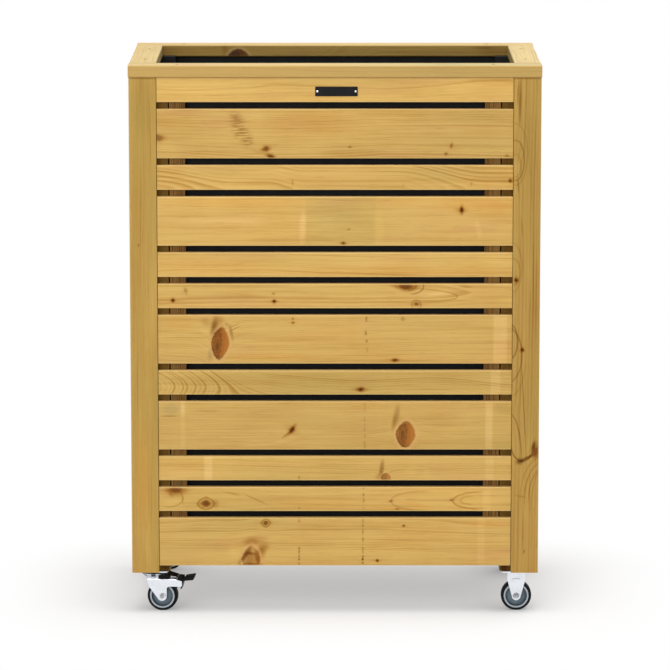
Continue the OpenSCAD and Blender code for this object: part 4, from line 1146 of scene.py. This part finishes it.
def rivet_shade(node):
    """Painted shade: dark rings on the riveted ends of an axle, stronger on their upper halves."""
    centre = middle(node)

    def shade(f, x, y, z):
        dx, dz = x - centre.x, z - centre.z
        radius = (dx * dx + dz * dz).root()
        outer = abs(radius - 0.0043).rise(0.0012, 0.0004)
        inner = abs(radius - 0.0021).rise(0.0009, 0.0003)
        patch = f.noise(dx * 300, dz * 300, detail=1).rise(0.35, 0.55)
        shaded = radius.rise(0.0042, 0.0034) * dz.rise(-0.0012, 0.0022) * 0.55
        upper = dz.rise(-0.0045, -0.001) * 0.75 + 0.25
        return ((outer * (patch * 0.4 + 0.6)).most(inner * patch) * upper * 0.85).most(shaded)

    return shade


def wheel_place(f, node):
    """Distance from the wheel's axle, and the place along its axle, level across it and upwards."""
    centre = middle(node)
    joint = next(j for j in frame["joints"] if j["name"] == node.rsplit("_", 1)[0] + "_roll")
    ax, ay, _ = joint["axis"]
    x, y, z = f.place()
    dx, dy, rise = x - centre.x, y - centre.y, z - centre.z
    side = dx * ax + dy * ay
    fore = dx * ay - dy * ax
    return (fore * fore + rise * rise).root(), (fore, rise, side)


def hub_finish(node, dish, pale):
    """A recessed grey dish with fine turned ridges, darker towards its border as painted shade, and a pale
    ring at its border.
    """
    f = Finish(node)
    radius, place = wheel_place(f, node)
    grainy = f.speckle(place, 900)
    cloud = f.speckle(place, 70, detail=3)
    ring = radius.rise(0.021, 0.0217)
    ridge = (radius * 5200).wave() * 0.5 + 0.5
    # Darker towards the ring: painted shade in the recess
    colour = f.mix(radius.rise(0.013, 0.0205), scaled(dish, 1.5), scaled(dish, 0.7))
    colour = f.mix(ring, colour, tuple(pale))
    colour = f.mix(cloud.rise(0.4, 0.8) * 0.4, colour, f.tint(0.5, colour, (0.5, 0.5, 0.5)))
    return f.close(
        base_color=colour,
        roughness=grainy * 0.15 + cloud * 0.12 + 0.33,
        normal=f.bump(grainy * 0.4 + ridge * (1 - ring) * 0.3, 0.00008),
    )


def tyre_finish(node, rubber):
    """Black rubber with a fine tread, a moulding seam and dust where it rolls."""
    f = Finish(node)
    radius, place = wheel_place(f, node)
    grainy = f.speckle(place, 600, detail=3)
    dust = f.speckle(place, 120, detail=3)
    tread = (place[2] * 2100).wave() * radius.rise(0.0288, 0.0296)
    seam = abs(radius - 0.0268).rise(0.0004, 0.0)
    dusty = dust.rise(0.52, 0.8) * radius.rise(0.027, 0.03)
    return f.close(
        base_color=f.mix(dusty, tuple(rubber), (0.03, 0.03, 0.03)),
        roughness=grainy * 0.14 + dust * 0.14 + 0.45,
        specular_ior_level=0.13,
        normal=f.bump(grainy * 0.3 + tread * 0.4 + seam * 0.5, 0.0002),
    )


class PLANTER_OT_wheels(PlanterOperator, bpy.types.Operator):
    """Dress the four hubs and tyres"""

    bl_idname = "planter.wheels"
    bl_label = "Wheels"

    def build(self, scene):
        casters = scene.planter_casters
        for wheel in ("front_left_", "rear_left_", "front_right_", "rear_right_"):
            dress(wheel + "hub", hub_finish(wheel + "hub", casters.hub_dish, casters.hub_ring))
            dress(wheel + "tyre", tyre_finish(wheel + "tyre", casters.rubber))


class PLANTER_OT_brakes(PlanterOperator, bpy.types.Operator):
    """Dress the brakes' housings and pedals"""

    bl_idname = "planter.brakes"
    bl_label = "Brakes"

    def build(self, scene):
        base = tuple(scene.planter_casters.plastic)
        for caster in ("front_left_", "rear_left_"):
            for piece in ("brake_housing", "brake_pedal"):
                f = Finish(caster + piece)
                x, y, z = f.place()
                spark = f.speckle((x, y, z), 1400)
                scuff = f.noise(x * 110, y * 110, z * 60, detail=4, roughness=0.6)
                rub = scuff.rise(0.55, 0.8)
                colour = f.mix(rub * 0.5, base, (0.012, 0.012, 0.013))
                if piece == "brake_housing":
                    # A painted highlight: pale specks on the housing's sloping faces near the pedal's end
                    dx = x - middle(caster + "kingpin").x
                    cheek_highlight = f.facing()[Z].rise(0.5, 0.2) * dx.rise(0.033, 0.0355) * dx.rise(0.0465, 0.044)
                    colour = f.mix(cheek_highlight * spark.rise(0.25, 0.45) * 0.9, colour, (0.5, 0.52, 0.55))
                dress(caster + piece, f.close(
                    base_color=colour,
                    roughness=spark * 0.12 + rub * 0.2 + 0.3,
                    specular_ior_level=0.12,
                    normal=f.bump(spark * 0.6 + scuff * 0.3, 0.00006),
                ))


# --- Stage ----------------------------------------------------------------------------------------


def lamp(name, place, aim, width, height, power):
    light = bpy.data.lights.new(name, "AREA")
    light.shape = "RECTANGLE"
    light.size = width
    light.size_y = height
    light.energy = power
    holder = bpy.data.objects.new(name, light)
    holder.location = place
    holder.rotation_euler = (Vector(aim) - Vector(place)).to_track_quat("-Z", "Y").to_euler()
    bpy.context.scene.collection.objects.link(holder)


class PLANTER_OT_stage(PlanterOperator, bpy.types.Operator):
    """Make the floor, the lamps, the world and the camera"""

    bl_idname = "planter.stage"
    bl_label = "Stage"

    def build(self, scene):
        settings = scene.planter_stage
        reach = 30.0
        mesh = bpy.data.meshes.new("floor")
        mesh.from_pydata(
            [(-reach, -reach, 0), (reach, -reach, 0), (reach, reach, 0), (-reach, reach, 0)],
            [], [(0, 1, 2, 3)],
        )
        floor = bpy.data.objects.new("floor", mesh)
        scene.collection.objects.link(floor)
        f = Finish("floor")
        x, y, _ = f.place()
        away_x = abs(x).most(0.36) - 0.36
        away_y = abs(y).most(0.16) - 0.16
        away = (away_x * away_x + away_y * away_y).root()
        mottle = f.noise(x * 3, y * 3) * 0.02
        clear = away.rise(0.02, 0.36) * 0.55 + 0.45
        # Less white round the four wheels: a painted contact shadow on the floor
        centre = middle("front_right_axle")
        near_x = abs(x) - centre.x
        near_y = abs(y) + centre.y
        clear = clear - (near_x * near_x * 200 + near_y * near_y * 200).fade() * 0.22
        white = f.node("ShaderNodeEmission", None, {"Color": (1, 1, 1, 1), "Strength": 1.0})
        ground = f.node(
            "ShaderNodeBsdfDiffuse", None, {"Color": f.mix(mottle, (0.9, 0.9, 0.9), (0.82, 0.82, 0.82))}
        )
        f.end(f.node("ShaderNodeMixShader", None, {0: clear * f.seen(), 1: ground, 2: white}))
        mesh.materials.append(f.material)

        f = Finish("studio", bpy.data.worlds)
        sky, backdrop = (
            f.node("ShaderNodeBackground", None, {"Color": (1, 1, 1, 1), "Strength": strength})
            for strength in (settings.sky, 1.0)
        )
        shown = f.node("ShaderNodeMixShader", None, {0: f.seen(), 1: sky, 2: backdrop})
        f.end(shown, "ShaderNodeOutputWorld")
        scene.world = f.material

        lamp("lamp_top", (0.2, -0.6, 3.6), (0, 0, 0.9), 3.0, 2.4, settings.top_power)
        lamp("lamp_rear", (2.4, 4.6, 2.4), (0, 0, 0.5), 3.2, 2.6, settings.rear_power)
        lamp("lamp_front", (-1.6, -4.6, 2.2), (0, 0, 0.5), 3.2, 2.6, settings.front_power)

        camera = bpy.data.cameras.new("camera")
        camera.lens = settings.lens
        camera.sensor_width = 36
        holder = bpy.data.objects.new("camera", camera)
        holder.location = (0, -settings.distance, settings.height)
        holder.rotation_euler = (math.pi / 2 - settings.pitch, 0, 0)
        scene.collection.objects.link(holder)
        scene.camera = holder
        scene.view_settings.view_transform = "Standard"


OPERATORS = (
    PLANTER_OT_stage,
    PLANTER_OT_front_slats,
    PLANTER_OT_other_slats,
    PLANTER_OT_posts,
    PLANTER_OT_rim,
    PLANTER_OT_inner_timber,
    PLANTER_OT_liner,
    PLANTER_OT_label,
    PLANTER_OT_screws,
    PLANTER_OT_caster_steel,
    PLANTER_OT_wheels,
    PLANTER_OT_brakes,
)
SETTINGS = (TimberSettings, CasterSettings, StageSettings)


class PLANTER_PT_panel(bpy.types.Panel):
    """Lists the planter's pieces"""

    bl_idname = "PLANTER_PT_panel"
    bl_label = "Rolling planter"
    bl_space_type = "VIEW_3D"
    bl_region_type = "UI"
    bl_category = "Planter"

    def draw(self, context):
        for operator in OPERATORS:
            self.layout.operator(operator.bl_idname)


def register():
    for cls in (*SETTINGS, *OPERATORS, PLANTER_PT_panel):
        bpy.utils.register_class(cls)
    bpy.types.Scene.planter_timber = bpy.props.PointerProperty(type=TimberSettings)
    bpy.types.Scene.planter_casters = bpy.props.PointerProperty(type=CasterSettings)
    bpy.types.Scene.planter_stage = bpy.props.PointerProperty(type=StageSettings)


def unregister():
    del bpy.types.Scene.planter_stage
    del bpy.types.Scene.planter_casters
    del bpy.types.Scene.planter_timber
    for cls in reversed((*SETTINGS, *OPERATORS, PLANTER_PT_panel)):
        bpy.utils.unregister_class(cls)


def main():
    register()
    for operator in OPERATORS:
        group, name = operator.bl_idname.split(".")
        getattr(getattr(bpy.ops, group), name)()


if __name__ == "__main__":
    main()
